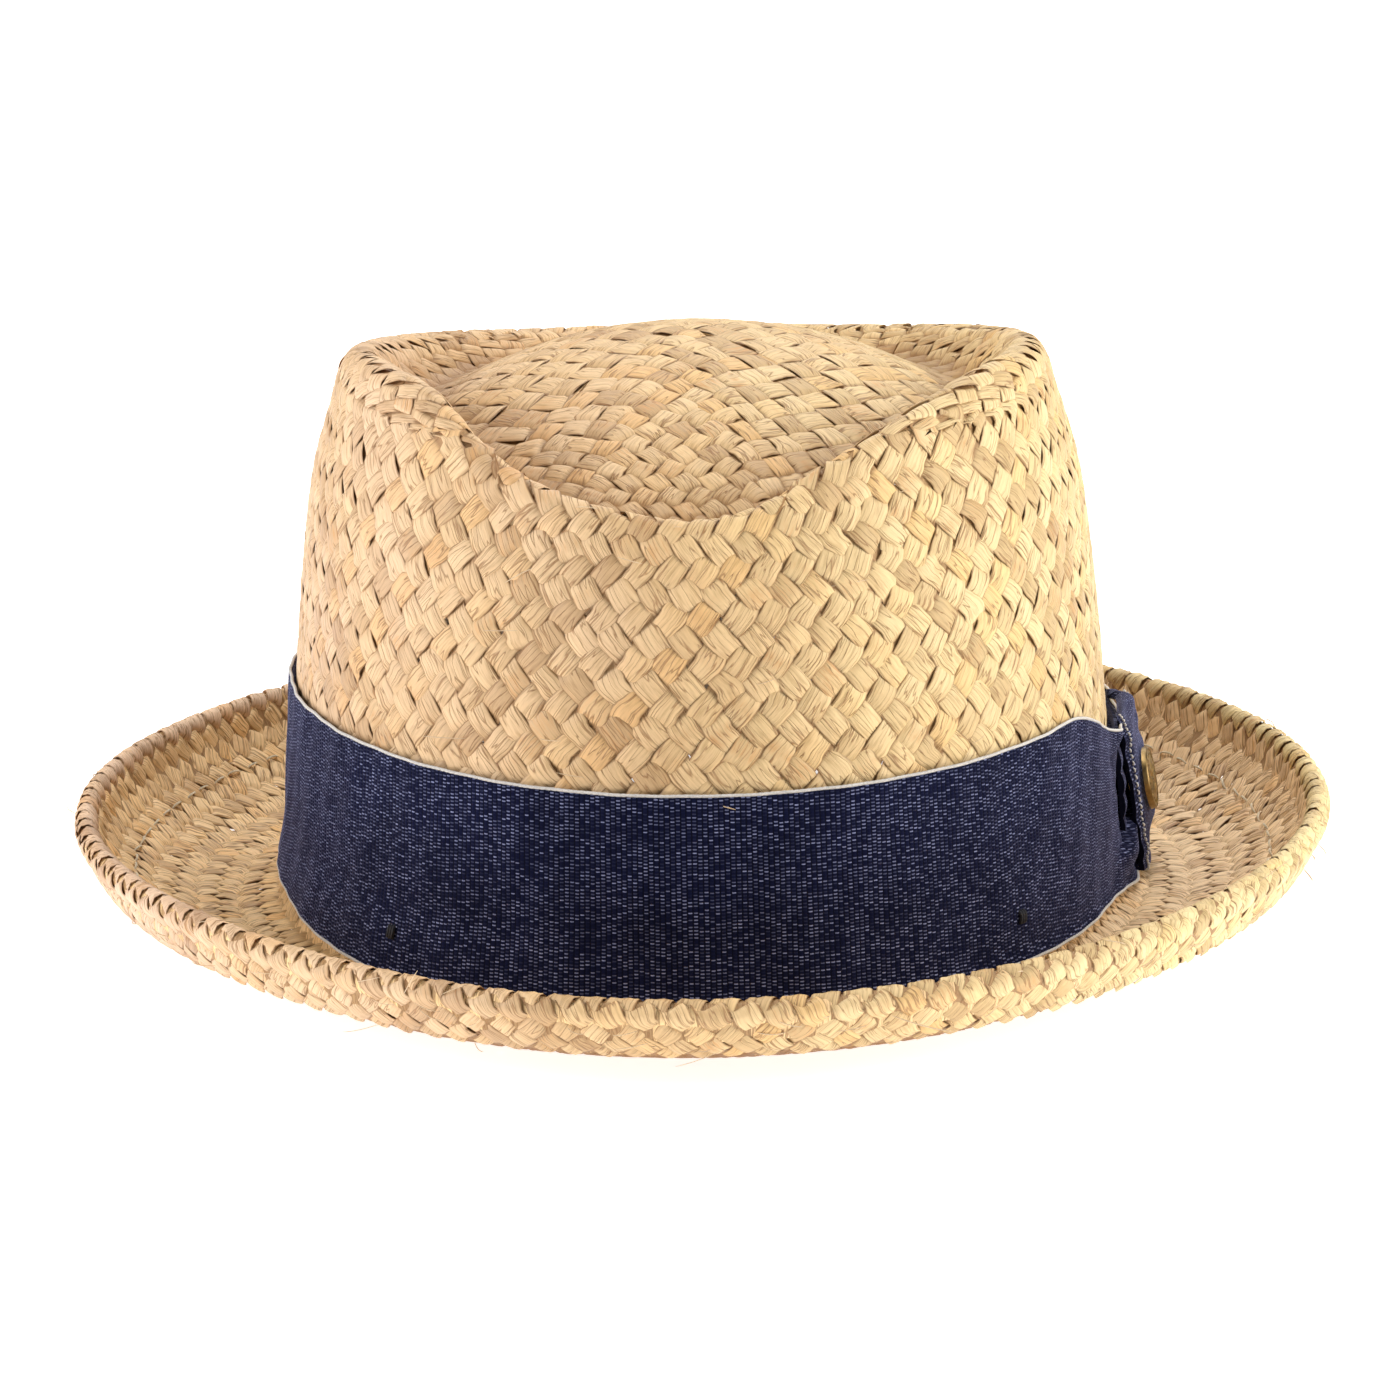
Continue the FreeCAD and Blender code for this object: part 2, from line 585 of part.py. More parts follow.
os.makedirs("parts", exist_ok=True)
for item in SUBPARTS:
    item.Shape.exportStep(os.path.join("parts", item.Label + ".step"))
    box = item.Shape.BoundBox
    print("%-22s %d solids  %9.1f mm3  x %.1f..%.1f  y %.1f..%.1f  z %.2f..%.2f" % (
        item.Label, len(item.Shape.Solids), item.Shape.Volume,
        box.XMin, box.XMax, box.YMin, box.YMax, box.ZMin, box.ZMax))
print("stud axis", tuple(STUD_FOOT), tuple(STUD_AXIS))
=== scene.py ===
import bpy
import math
import numpy as np
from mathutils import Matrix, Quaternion, Vector


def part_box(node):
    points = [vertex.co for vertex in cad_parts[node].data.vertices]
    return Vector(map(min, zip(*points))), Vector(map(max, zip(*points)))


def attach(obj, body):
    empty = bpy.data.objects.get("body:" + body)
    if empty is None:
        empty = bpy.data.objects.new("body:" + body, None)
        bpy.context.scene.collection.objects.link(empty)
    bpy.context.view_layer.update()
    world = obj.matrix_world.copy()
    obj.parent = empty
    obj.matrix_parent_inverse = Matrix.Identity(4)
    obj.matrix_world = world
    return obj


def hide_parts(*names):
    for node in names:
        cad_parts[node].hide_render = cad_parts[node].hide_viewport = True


# Hand-plaited straw fedora: every strand of the plait, the ribbon, its bow and the
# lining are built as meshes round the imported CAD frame. Lengths are in millimetres
# until a mesh is made, and metres in the scene.

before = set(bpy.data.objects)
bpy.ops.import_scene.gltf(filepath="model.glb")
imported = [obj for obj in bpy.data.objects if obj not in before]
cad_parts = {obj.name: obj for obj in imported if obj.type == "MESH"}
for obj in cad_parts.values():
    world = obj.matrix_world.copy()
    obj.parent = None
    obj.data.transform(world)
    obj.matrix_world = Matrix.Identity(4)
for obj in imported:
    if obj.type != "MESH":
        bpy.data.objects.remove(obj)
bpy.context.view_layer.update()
MM = 0.001

# ---- sizes, as in the CAD

HALF_X, HALF_Y = 89.0, 105.0
HEADLINE = 8.0
LEAN = 0.066
RIBBON_TOP = 48.0
# Height of the rim at angles round the crown, from the wearer's left by the back.
RIM_LINE = ((0, 118.0), (26, 113.0), (45, 109.0), (65, 106.0), (90, 105.5), (115, 106.5),
            (135, 109.8), (156, 114.0), (180, 118.5), (202, 121.5), (222, 120.0), (237, 109.5),
            (249, 104.0), (261, 101.0), (269, 100.0), (278, 102.0), (290, 109.5), (303, 116.0),
            (319, 120.5), (342, 120.5))
DOME_TOP = 121.8
MOAT_INSET = 19.0
DOME_SIDE_FALL, DOME_FRONT_FALL, DOME_BACK_FALL = 0.005, 0.0036, 0.0033
SHOULDER_FALL = 0.0009
RIM_LIP, RIM_LIFT = 7.0, 1.2
RIDGE_CRISPNESS = 0.4
RIM_ROLL = ((0.6, 11.0), (1.6, 6.0), (4.0, 1.2), (8.5, 0.0))
RIM_FALL = ((12.0, 0.2), (15.5, 0.7))
DOME_SHARES = (0.0, 0.08, 0.18, 0.32, 0.48, 0.66, 0.84, 1.0)
LEANING_SHARES = (0.68, 0.5, 0.32, 0.15)
STRAIGHT_SHARES = (1.0, 0.88, 0.7, 0.5, 0.3, 0.12, 0.05)

# ---- sizes of the plait

COLUMNS = 720            # columns of the look-up tables round the head
STEPS = 12               # curve steps between two stations
SKIN_DEPTH = 0.95        # the plait's middle, inside the straw's outer face
TIP_RINGS = 20           # rings of plait from the middle of the tip to its square's edge
ROW = 4.53               # height of a row of plait on the wall
JOIN_HEIGHT = 10.0       # behind the ribbon, where the crown's plait meets the brim's
CROWN_RINGS = 43         # rings from the middle of the tip to where the wall joins the brim
BRIM_STRANDS = 140
SEGMENTS = 6             # mesh segments of a strand from one crossing to the next
WAVE = 0.46              # how far a strand rises and dips
WAVE_FLATNESS = 2.9
BULGE = 0.34             # how much a strand is rounded across
LEAF_THICK = 0.3

# Middle of the brim's straw: offset from the head's oval, and height, from behind the
# ribbon down to the gutter, up the curl, over the edge and down the turned hem.
BRIM_LINE = (
    (-1.2, 12.5), (-1.05, 10.0), (-0.9, 8.0), (-0.5, 5.8), (0.6, 3.6), (2.8, 1.7), (6.5, 1.05),
    (11.0, 1.0), (16.0, 1.1), (22.0, 1.9), (29.2, 4.6), (36.4, 9.6), (39.9, 13.6),
    (40.8, 16.6), (41.6, 18.6), (43.1, 19.3), (44.4, 18.2), (44.6, 16.4), (43.2, 15.0),
    (42.7, 13.4), (41.2, 10.8), (39.4, 8.6), (38.0, 7.6))
# Share of the strip's length at each ring of its plait: even rows, fat ones on the edge.
BRIM_ROWS = (4.4, 4.4, 4.4, 4.5, 4.5, 4.6, 4.6, 4.6, 4.6, 4.6, 4.6, 4.6, 4.8, 5.4, 4.0, 3.6, 3.4)
LIFT_RIGHT, LIFT_LEFT = 0.14, 0.12      # extra height of the curl at the wearer's sides
SLIM_RIGHT, SLIM_LEFT = 0.10, 0.06      # how much narrower the brim is at the diagonals


def smooth(value):
    """Smooth step from 0 to 1."""
    clipped = np.clip(value, 0, 1)
    return clipped * clipped * (3 - 2 * clipped)


# ---- skins of the hat

TURN = np.linspace(0, 2 * math.pi, COLUMNS, endpoint=False)


def curl_lift(angle):
    """How much higher the brim's curl stands at the sides than in front, as a share."""
    across = np.cos(angle)
    return 1 + np.where(across < 0, LIFT_RIGHT, LIFT_LEFT) * across ** 2


def brim_slimness(angle):
    """Share of the brim's width that it keeps at an angle."""
    slim = np.where(np.cos(angle) < 0, SLIM_RIGHT, SLIM_LEFT)
    return 1 - slim * np.sin(2 * angle) ** 2


def stacked(*parts):
    """Arrays spread over one shape and stacked as the last axis."""
    return np.stack(np.broadcast_arrays(*parts), -1)


def oval(angle, offset, height):
    """Points on the oval that lies an offset outside the headline."""
    x = (HALF_X + offset) * np.cos(angle)
    y = (HALF_Y + offset) * np.sin(angle)
    return stacked(x, y, height)


def unit(vectors):
    """Directions of vectors."""
    return vectors / np.maximum(np.linalg.norm(vectors, axis=-1, keepdims=True), 1e-9)


def wall_inset(height):
    """How far the crown's wall has come in at a height."""
    return LEAN * (height - HEADLINE) + SHOULDER_FALL * np.maximum(0, height - RIBBON_TOP) ** 2


def rim_height(angle):
    """Height of the crown's rim: peaks at the front corners, a pinch between, low at the back."""
    turns, heights = np.array(RIM_LINE).T
    turns = np.radians(turns)
    count = len(heights)
    turns = np.concatenate((turns - 2 * math.pi, turns, turns + 2 * math.pi))
    heights = np.tile(heights, 3)
    slopes = np.gradient(heights, turns)
    angle = angle % (2 * math.pi)
    k = np.clip(np.searchsorted(turns, angle, "right") - 1, count - 1, 2 * count)
    span = turns[k + 1] - turns[k]
    t = (angle - turns[k]) / span
    return ((2 * t ** 3 - 3 * t ** 2 + 1) * heights[k] + (t ** 3 - 2 * t ** 2 + t) * span * slopes[k]
            + (3 * t ** 2 - 2 * t ** 3) * heights[k + 1] + (t ** 3 - t ** 2) * span * slopes[k + 1])


def roll_width(angle):
    """Share of its width that the rolled rim keeps: the front ridge is crisp."""
    return 1 - RIDGE_CRISPNESS * np.maximum(0, -np.sin(angle)) ** 2


def b_spline(control):
    """Smooth curves drawn by control points, the first index running along them."""
    count = len(control)
    padded = np.concatenate((2 * control[:1] - control[1:2], control,
                             2 * control[-1:] - control[-2:-1]))
    place = np.linspace(0, count - 1, (count - 1) * STEPS + 1)
    start = np.minimum(place.astype(int), count - 2)
    f = (place - start).reshape((-1,) + (1,) * (control.ndim - 1))
    weights = ((1 - f) ** 3, 3 * f ** 3 - 6 * f ** 2 + 4,
               -3 * f ** 3 + 3 * f ** 2 + 3 * f + 1, f ** 3)
    return sum(w * padded[start + k] for k, w in enumerate(weights)) / 6


def crown_curves():
    """Curves down the crown's middle skin, from the middle of the tip to behind the ribbon."""
    rim = rim_height(TURN)
    rim_in = wall_inset(rim)
    width = roll_width(TURN)
    moat = oval(TURN, -rim_in - MOAT_INSET * width, 0)
    fall = np.where(moat[:, 1] < 0, DOME_FRONT_FALL, DOME_BACK_FALL)
    foot = DOME_TOP - DOME_SIDE_FALL * moat[:, 0] ** 2 - fall * moat[:, 1] ** 2
    moat[:, 2] = np.minimum(foot, rim - RIM_LIP)
    rings = []
    for share in DOME_SHARES:
        ring = moat * share
        ring[:, 2] = DOME_TOP - share ** 2 * (DOME_TOP - moat[:, 2]) - SKIN_DEPTH
        rings.append(ring)
    for inset, drop in reversed(RIM_FALL):
        height = rim + RIM_LIFT - drop * (rim - moat[:, 2]) - 0.5 * SKIN_DEPTH
        rings.append(oval(TURN, -rim_in - inset * width + 0.7 * SKIN_DEPTH, height))
    for (inset, drop), inward in zip(reversed(RIM_ROLL), (0.0, 0.6, 0.9, 1.0)):
        height = rim + RIM_LIFT - drop - (1 - 0.7 * inward) * SKIN_DEPTH
        rings.append(oval(TURN, -rim_in - inset * width - inward * SKIN_DEPTH, height))
    heights = [RIBBON_TOP + share * (rim - RIBBON_TOP) for share in LEANING_SHARES]
    heights += [HEADLINE + share * (RIBBON_TOP - HEADLINE) for share in STRAIGHT_SHARES]
    rings += [oval(TURN, -wall_inset(height) - SKIN_DEPTH, height) for height in heights]
    return b_spline(np.array(rings))


def lengths(curves):
    """Length along each curve, from its first point."""
    steps = np.linalg.norm(np.diff(curves, axis=0), axis=-1)
    return np.concatenate((np.zeros((1, *steps.shape[1:])), np.cumsum(steps, axis=0)))


def skin_table(curves, along, start, end, rows):
    """Points and outward normals in rows spread evenly between two lengths along the curves."""
    wanted = start + np.linspace(0, 1, rows)[:, None] * (end - start)
    table = np.empty((rows, COLUMNS, 3))
    for column in range(COLUMNS):
        for axis in range(3):
            table[:, column, axis] = np.interp(
                wanted[:, column], along[:, column], curves[:, column, axis])
    down = np.gradient(table, axis=0)
    around = np.roll(table, -1, 1) - np.roll(table, 1, 1)
    normal = np.cross(down, around)
    size = np.linalg.norm(normal, axis=2, keepdims=True)
    level = np.array((0.0, 0.0, 1.0))
    normal = np.where(size > 1e-9, normal / np.maximum(size, 1e-9), level)
    return np.concatenate((table, normal), 2)


def look_up(table, row, angle):
    """Points and normals of a table at a row and an angle."""
    last = len(table) - 1
    row = np.clip(row, 0, last - 1e-6)
    r = row.astype(int)
    f = (row - r)[:, None]
    column = angle / (2 * math.pi) * COLUMNS % COLUMNS
    c = column.astype(int) % COLUMNS
    d = (c + 1) % COLUMNS
    g = (column - np.floor(column))[:, None]
    found = ((1 - f) * ((1 - g) * table[r, c] + g * table[r, d])
             + f * ((1 - g) * table[r + 1, c] + g * table[r + 1, d]))
    return found[:, :3], unit(found[:, 3:])


TIP_ROWS, WALL_ROWS, BRIM_TABLE_ROWS = 220, 240, 200
curves = crown_curves()
along = lengths(curves)
join_drop = np.array([np.interp(-JOIN_HEIGHT, -curves[len(curves) // 2:, c, 2],
                                along[len(curves) // 2:, c]) for c in range(COLUMNS)])
square_edge = join_drop - (CROWN_RINGS - TIP_RINGS) * ROW
tip_table = skin_table(curves, along, 0, square_edge, TIP_ROWS)
tip_table[0, :, 3:] = (0, 0, 1)
wall_table = skin_table(curves, along, square_edge, join_drop, WALL_ROWS)

brim_rings = np.array([oval(TURN, offset * brim_slimness(TURN), height)
                       for offset, height in BRIM_LINE])
brim_rings[8:, :, 2] = 1 + (brim_rings[8:, :, 2] - 1) * curl_lift(TURN)
brim_curves = b_spline(brim_rings)
brim_along = lengths(brim_curves)
brim_table = skin_table(brim_curves, brim_along, 0, brim_along[-1], BRIM_TABLE_ROWS)
ROW_STARTS = np.concatenate(((0,), np.cumsum(BRIM_ROWS))) / sum(BRIM_ROWS)
BRIM_RINGS = len(BRIM_ROWS)

# Even arc length round an oval, as an angle.
fine = np.linspace(0, 2 * math.pi, 2881)
oval_run = lengths(oval(fine, 0, 0.0))
OVAL_LENGTH = oval_run[-1]


def even_angle(share):
    """Angle at a share of the way round the head's oval."""
    return np.interp(share % 1 * OVAL_LENGTH, oval_run, fine) + 2 * math.pi * np.floor(share)


def crown_at(sector, ring, across):
    """Crown skin at a ring of the plait and a place across one of its four sectors."""
    quarter = math.pi / 2
    a = np.clip(ring / TIP_RINGS, 0, 1)
    b = across / TIP_RINGS
    x = a * np.sqrt(np.maximum(0, 1 - b * b / 2))
    y = b * np.sqrt(1 - a * a / 2)
    tip, tip_normal = look_up(tip_table, np.hypot(x, y) * (TIP_ROWS - 1),
                              np.arctan2(y, x) + sector * quarter)
    eta = across + 2 * TIP_RINGS * sector
    nearest = np.round(eta / (2 * TIP_RINGS))
    inside = (eta - 2 * TIP_RINGS * nearest) / TIP_RINGS
    squared = nearest * quarter + np.arcsin(np.clip(inside, -1, 1) / math.sqrt(2))
    evened = even_angle(eta / (8 * TIP_RINGS))
    blend = smooth((ring - TIP_RINGS) / 10)
    down = (ring - TIP_RINGS) / (CROWN_RINGS - TIP_RINGS) * (WALL_ROWS - 1)
    wall, wall_normal = look_up(wall_table, down, squared + blend * (evened - squared))
    inner = (ring < TIP_RINGS)[:, None]
    return np.where(inner, tip, wall), np.where(inner, tip_normal, wall_normal)


def brim_at(sector, ring, across):
    """Brim skin at a ring of its plait and a place round the head."""
    row = np.interp(ring, np.arange(BRIM_RINGS + 1), ROW_STARTS) * (BRIM_TABLE_ROWS - 1)
    return look_up(brim_table, row, even_angle(across / (2 * BRIM_STRANDS)))


# ---- meshes

def make_object(name, points, faces, uv, material, slot, replaced=None, tint=None, body="hat"):
    """Mesh object from millimetre points, and the CAD node it replaces; its slot is not used."""
    points, uv = points.reshape(-1, 3), uv.reshape(-1, 2)
    mesh = bpy.data.meshes.new(name)
    mesh.vertices.add(len(points))
    mesh.vertices.foreach_set("co", (points * MM).astype(np.float32).ravel())
    sizes = np.concatenate([np.full(len(f), f.shape[1]) for f in faces])
    corners = np.concatenate([f.ravel() for f in faces]).astype(np.int32)
    mesh.loops.add(len(corners))
    mesh.loops.foreach_set("vertex_index", corners)
    mesh.polygons.add(len(sizes))
    starts = np.concatenate(((0,), np.cumsum(sizes)[:-1])).astype(np.int32)
    mesh.polygons.foreach_set("loop_start", starts)
    mesh.update(calc_edges=True)
    layer = mesh.uv_layers.new(name="lay")
    layer.data.foreach_set("uv", uv[corners].astype(np.float32).ravel())
    if tint is not None:
        colour = mesh.color_attributes.new("tint", "FLOAT_COLOR", "POINT")
        full = np.concatenate((tint, np.ones((len(points), 1))), 1)
        colour.data.foreach_set("color", full.astype(np.float32).ravel())
    mesh.shade_smooth()
    mesh.set_sharp_from_angle(angle=math.radians(58))
    mesh.validate()
    thing = bpy.data.objects.new(name, mesh)
    thing.data.materials.append(material)
    bpy.context.scene.collection.objects.link(thing)
    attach(thing, body)
    if replaced:
        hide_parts(replaced)
    return thing


def tube_faces(count, around, start):
    """Quads of a closed tube and the two polygons that end it."""
    i, j = np.meshgrid(np.arange(count - 1), np.arange(around), indexing="ij")
    k = (j + 1) % around
    quads = stacked(i * around + j, i * around + k, (i + 1) * around + k,
                    (i + 1) * around + j).reshape(-1, 4) + start
    first = np.arange(around)[::-1][None] + start
    last = np.arange(around)[None] + start + (count - 1) * around
    return quads, np.concatenate((first, last))


def ring_faces(count, around):
    """Quads of a closed ring of tube sections."""
    i, j = np.meshgrid(np.arange(count), np.arange(around), indexing="ij")
    k = (j + 1) % around
    m = (i + 1) % count
    return stacked(i * around + j, m * around + j, m * around + k, i * around + k).reshape(-1, 4)


def ring_object(name, grid, uv, material, slot, replaced=None, tint=None, flipped=False):
    """Closed ring of tube sections as an object; flipped where its sections run the other way."""
    faces = ring_faces(*grid.shape[:2])
    return make_object(name, grid, [faces[:, ::-1] if flipped else faces], uv, material, slot,
                       replaced, tint)


def tubes_object(name, tubes, material, slot, replaced=None):
    """One object from closed tubes; each is its grids of points, coordinates and maybe tints."""
    quads, ends, size = [], [], 0
    for points, *_ in tubes:
        count, around = points.shape[:2]
        sides, caps = tube_faces(count, around, size)
        quads.append(sides)
        ends.append(caps)
        size += count * around
    points, uv, *tint = [np.concatenate([grid.reshape(-1, grid.shape[-1]) for grid in grids])
                         for grids in zip(*tubes)]
    make_object(name, points, [np.concatenate(quads), np.concatenate(ends)], uv, material, slot,
                replaced, *tint)


# ---- plait

# The eight points of a strand's section: their places across it, and which lie at its back.
PLACES = np.array((-1.0, -0.82, -0.35, 0.35, 0.82, 1.0, 0.5, -0.5))
IS_BACK = np.array((0, 0, 0, 0, 0, 0, 1, 1))
DRAWS = 60               # random values drawn along a strand, more than it has rings
MOAT_SHADE = 0.74         # painted shade: how much darker the strands are painted down in the moat
rng = np.random.default_rng(2611)


def wandering(ring, values):
    """Random values, one at each ring, joined by straight runs."""
    return np.interp(ring, np.arange(DRAWS), values)


def strand(skin, sector, way, start, end, first_across, swell):
    """One strand as sections of eight points, with its plait coordinates and tints."""
    count = int(round((end - start) * SEGMENTS)) + 1
    ring = start + np.arange(count) / SEGMENTS
    across = first_across + way * (ring - start)
    sway = 0.10 * wandering(ring, rng.normal(size=DRAWS))
    centre, normal = skin(sector, ring, across + sway)
    before, _ = skin(sector, ring, across - 0.5)
    after, _ = skin(sector, ring, across + 0.5)
    travel = unit(np.gradient(centre, axis=0))
    half = np.linalg.norm(np.cross(after - before, travel), axis=1)
    side = unit(np.cross(normal, travel))
    beat = way * np.cos(math.pi * ring)
    level = np.tanh(WAVE_FLATNESS * beat) / math.tanh(WAVE_FLATNESS)
    swelling = swell(ring)
    widen = 0.985 + 0.035 * rng.normal() + 0.03 * wandering(ring, rng.normal(size=DRAWS))
    widen = np.minimum(widen, 1.07) * (0.97 + 0.05 * np.abs(level))
    tilt = 0.13 * wandering(ring, rng.normal(size=DRAWS))
    u = PLACES[None]
    rounded = 1 - np.abs(u) ** 2.4
    wave = (swelling * level)[:, None]
    height = WAVE * wave + BULGE * wave * (rounded - 0.75) + tilt[:, None] * u
    thickness = np.where(IS_BACK, -0.5, np.where(np.abs(PLACES) < 0.9, 0.5, 0)) * LEAF_THICK
    height = height + thickness
    points = (centre[:, None] + side[:, None] * (u * (half * widen)[:, None])[:, :, None]
              + normal[:, None] * height[:, :, None])
    run = lengths(centre)[:, None]
    uv = stacked((u + 1) / 2 + 2 * rng.integers(0, 4000), run + 60 * rng.random())
    # Painted shade: the strands' level is lowered down in the moat round the dome, which darkens
    # them there.
    shade = 1 - MOAT_SHADE * moat_shade_mask(centre) * (centre[:, 2] > RIBBON_TOP)
    tone = rng.random()
    patch = wandering(ring, rng.random(DRAWS))
    # The second channel is painted shade: low where a strand dips under its neighbour and down in
    # the moat.
    tint = stacked(tone, (level + 1) / 2 * shade, patch)
    return ring, points, uv, np.broadcast_to(tint[:, None], (count, 8, 3))


def moat_shade_mask(points):
    """Mask of the painted shade in the moat round the dome: how far places on the crown lie down in
    the moat, from 0 to 1.
    """
    angle = np.arctan2(points[:, 1] / HALF_Y, points[:, 0] / HALF_X)
    width = roll_width(angle)
    inset = wall_inset(rim_height(angle)) + MOAT_INSET * width
    reach = np.hypot(points[:, 0] / (HALF_X - inset), points[:, 1] / (HALF_Y - inset)) - 1
    return np.exp(-(reach / np.where(reach > 0, 0.12 * width ** 2, 0.24)) ** 2)


def add_cuts(pieces, cuts, made):
    """Shares a strand out among the pieces that its rings belong to."""
    ring, *grids = made
    for piece, low, high in cuts:
        inside = (ring >= low - 1e-6) & (ring <= high + 1e-6)
        if inside.sum() > 1:
            pieces.setdefault(piece, []).append([grid[inside] for grid in grids])


def plait_objects(pieces, dressed):
    """Objects of the gathered strands; dressed gives each one's CAD node and material."""
    for name, strands in pieces.items():
        node_name, material = dressed[name]
        tubes_object(name, strands, material, "straw", node_name)


def plait_crown(material):
    """The crown: a square plait on the tip that goes on down the wall."""
    cuts = (("crown_tip", 0, 19.5), ("crown_shoulder", 19.5, 27.5),
            ("crown_wall", 27.5, 35.5), ("crown_foot", 35.5, CROWN_RINGS))
    pieces = {}
    for sector in range(4):
        for number in range(TIP_RINGS):
            start = number + 0.5
            for way in (1, -1):
                made = strand(crown_at, sector, way, start, CROWN_RINGS, -way * start,
                              lambda ring: 1 + 0 * ring)
                add_cuts(pieces, cuts, made)
    plait_objects(pieces, dict.fromkeys([cut[0] for cut in cuts], ("crown", material)))


def edge_swell(ring):
    """The folded edge is fatter than the rest of the brim."""
    return 1 + 0.75 * np.exp(-((ring - 13.2) / 1.1) ** 2)


def edge_core(material):
    """Ends of leaf packed inside the folded edge, behind the gaps of its plait."""
    columns, rows = 720, 30
    angle = np.arange(columns) / columns * 2 * math.pi
    ring = np.linspace(10.5, 15.5, rows)
    lay_rows = np.interp(ring, np.arange(BRIM_RINGS + 1), ROW_STARTS) * (BRIM_TABLE_ROWS - 1)
    grid = []
    for side, row in [(1, row) for row in lay_rows] + [(-1, row) for row in lay_rows[::-1]]:
        point, normal = look_up(brim_table, np.full(columns, row), angle)
        frayed = 0.12 * np.sin(37 * angle + 3 * row)[:, None]
        grid.append(point + normal * (side * 0.3 + frayed))
    points = stacked(*grid).transpose(0, 2, 1)
    uv = stacked(np.arange(columns)[:, None] * 0.37, np.arange(2 * rows) * 1.1)
    tint = np.broadcast_to((0.3, 0.62, 0.3), (columns * 2 * rows, 3))
    ring_object("edge_core", points, uv, material, "straw", tint=tint)


def plait_brim(floor_material, edge_material):
    """The brim, its folded edge and the turned hem, as one plait."""
    cuts = (("brim_gutter", 0, 5.5), ("brim_slope", 5.5, 12.5),
            ("brim_edge", 12.5, 14.5), ("brim_turned_hem", 14.5, BRIM_RINGS))
    pieces = {}
    for number in range(BRIM_STRANDS):
        for way in (1, -1):
            made = strand(brim_at, 0, way, 0, BRIM_RINGS, 2 * number, edge_swell)
            add_cuts(pieces, cuts, made)
    plait_objects(pieces, {"brim_gutter": ("brim", floor_material),
                           "brim_slope": ("brim", floor_material),
                           "brim_edge": ("brim_edge_braid", edge_material),
                           "brim_turned_hem": ("brim_hem", edge_material)})


# ---- materials

def material_tree(name):
    """New material, its node tree and its shader."""
    material = bpy.data.materials.new(name)
    material.use_nodes = True
    tree = material.node_tree
    return material, tree, tree.nodes["Principled BSDF"]


def node(tree, kind, inputs=(), **settings):
    """Node with its settings and its inputs, which are sockets or values."""
    made = tree.nodes.new(kind)
    for key, value in settings.items():
        setattr(made, key, value)
    for key, value in dict(inputs).items():
        if isinstance(value, bpy.types.NodeSocket):
            tree.links.new(value, made.inputs[key])
        else:
            made.inputs[key].default_value = value
    return made


def math_node(tree, operation, first, second=0.0, third=0.0):
    """Result of an arithmetic node."""
    return node(tree, "ShaderNodeMath", {0: first, 1: second, 2: third},
                operation=operation).outputs[0]


def mixed(tree, share, first, second, blend="MIX"):
    """Colour mixed from two by a share."""
    return node(tree, "ShaderNodeMix", {0: share, 6: first, 7: second}, data_type="RGBA",
                blend_type=blend).outputs[2]


def stops(tree, value, places):
    """Colour ramp with a colour at each place."""
    ramp = node(tree, "ShaderNodeValToRGB", {0: value})
    elements = ramp.color_ramp.elements
    while len(elements) < len(places):
        elements.new(0.5)
    for element, (position, colour) in zip(elements, places):
        element.position = position
        element.color = (*colour, 1.0)
    return ramp.outputs[0]


def ranged(tree, value, low, high, first=0.0, last=1.0):
    """Value carried from one range to another, and clamped there."""
    return node(tree, "ShaderNodeMapRange",
                {0: value, 1: low, 2: high, 3: first, 4: last}).outputs[0]


def object_place(tree):
    """Coordinates in the object's own frame."""
    return node(tree, "ShaderNodeTexCoord").outputs["Object"]


def noise(tree, place, scale, detail):
    """Soft noise at places in the object."""
    return node(tree, "ShaderNodeTexNoise",
                {0: place, "Scale": scale, "Detail": detail}).outputs[0]


def lay_noise(tree, lay, scale, detail, roughness=0.5):
    """Flat noise in a plait's or cloth's own coordinates, stretched axis by axis."""
    stretched = node(tree, "ShaderNodeVectorMath", {0: lay, 1: scale}, operation="MULTIPLY")
    return node(tree, "ShaderNodeTexNoise",
                {0: stretched.outputs[0], "Scale": 1.0, "Detail": detail, "Roughness": roughness},
                noise_dimensions="2D").outputs[0]


def times(tree, first, second):
    """Product of two values."""
    return math_node(tree, "MULTIPLY", first, second)


def rest_of_one(tree, value):
    """What a share leaves of one."""
    return math_node(tree, "SUBTRACT", 1.0, value)


def off_middle(tree, value, middle):
    """How far a value is from a middle one."""
    return math_node(tree, "ABSOLUTE", math_node(tree, "SUBTRACT", value, middle))


def set_surface(tree, shader, base, rough, relief, strength, distance, **others):
    """Colour, roughness and relief of a shader; others are its plain inputs."""
    tree.links.new(base, shader.inputs["Base Color"])
    if isinstance(rough, float):
        shader.inputs["Roughness"].default_value = rough
    else:
        tree.links.new(rough, shader.inputs["Roughness"])
    for key, value in others.items():
        shader.inputs[key.replace("_", " ")].default_value = value
    bump = node(tree, "ShaderNodeBump",
                {"Height": relief, "Strength": strength, "Distance": distance})
    tree.links.new(bump.outputs[0], shader.inputs["Normal"])


# Colours of dead leaf in creases and in brown patches, and of painted shade in the gaps where
# strands dip and along their edges.
PAINTED_GAP_SHADE = (0.33, 0.165, 0.06, 1)
CREASE_BROWN = (0.34, 0.17, 0.065, 1)
PAINTED_EDGE_SHADE = (0.27, 0.13, 0.045, 1)
PATCH_BROWN = (0.60, 0.33, 0.14, 1)
SIDE_LIGHT_REACH = 0.12        # metres from the middle to where a side's tone, partly painted light, is full
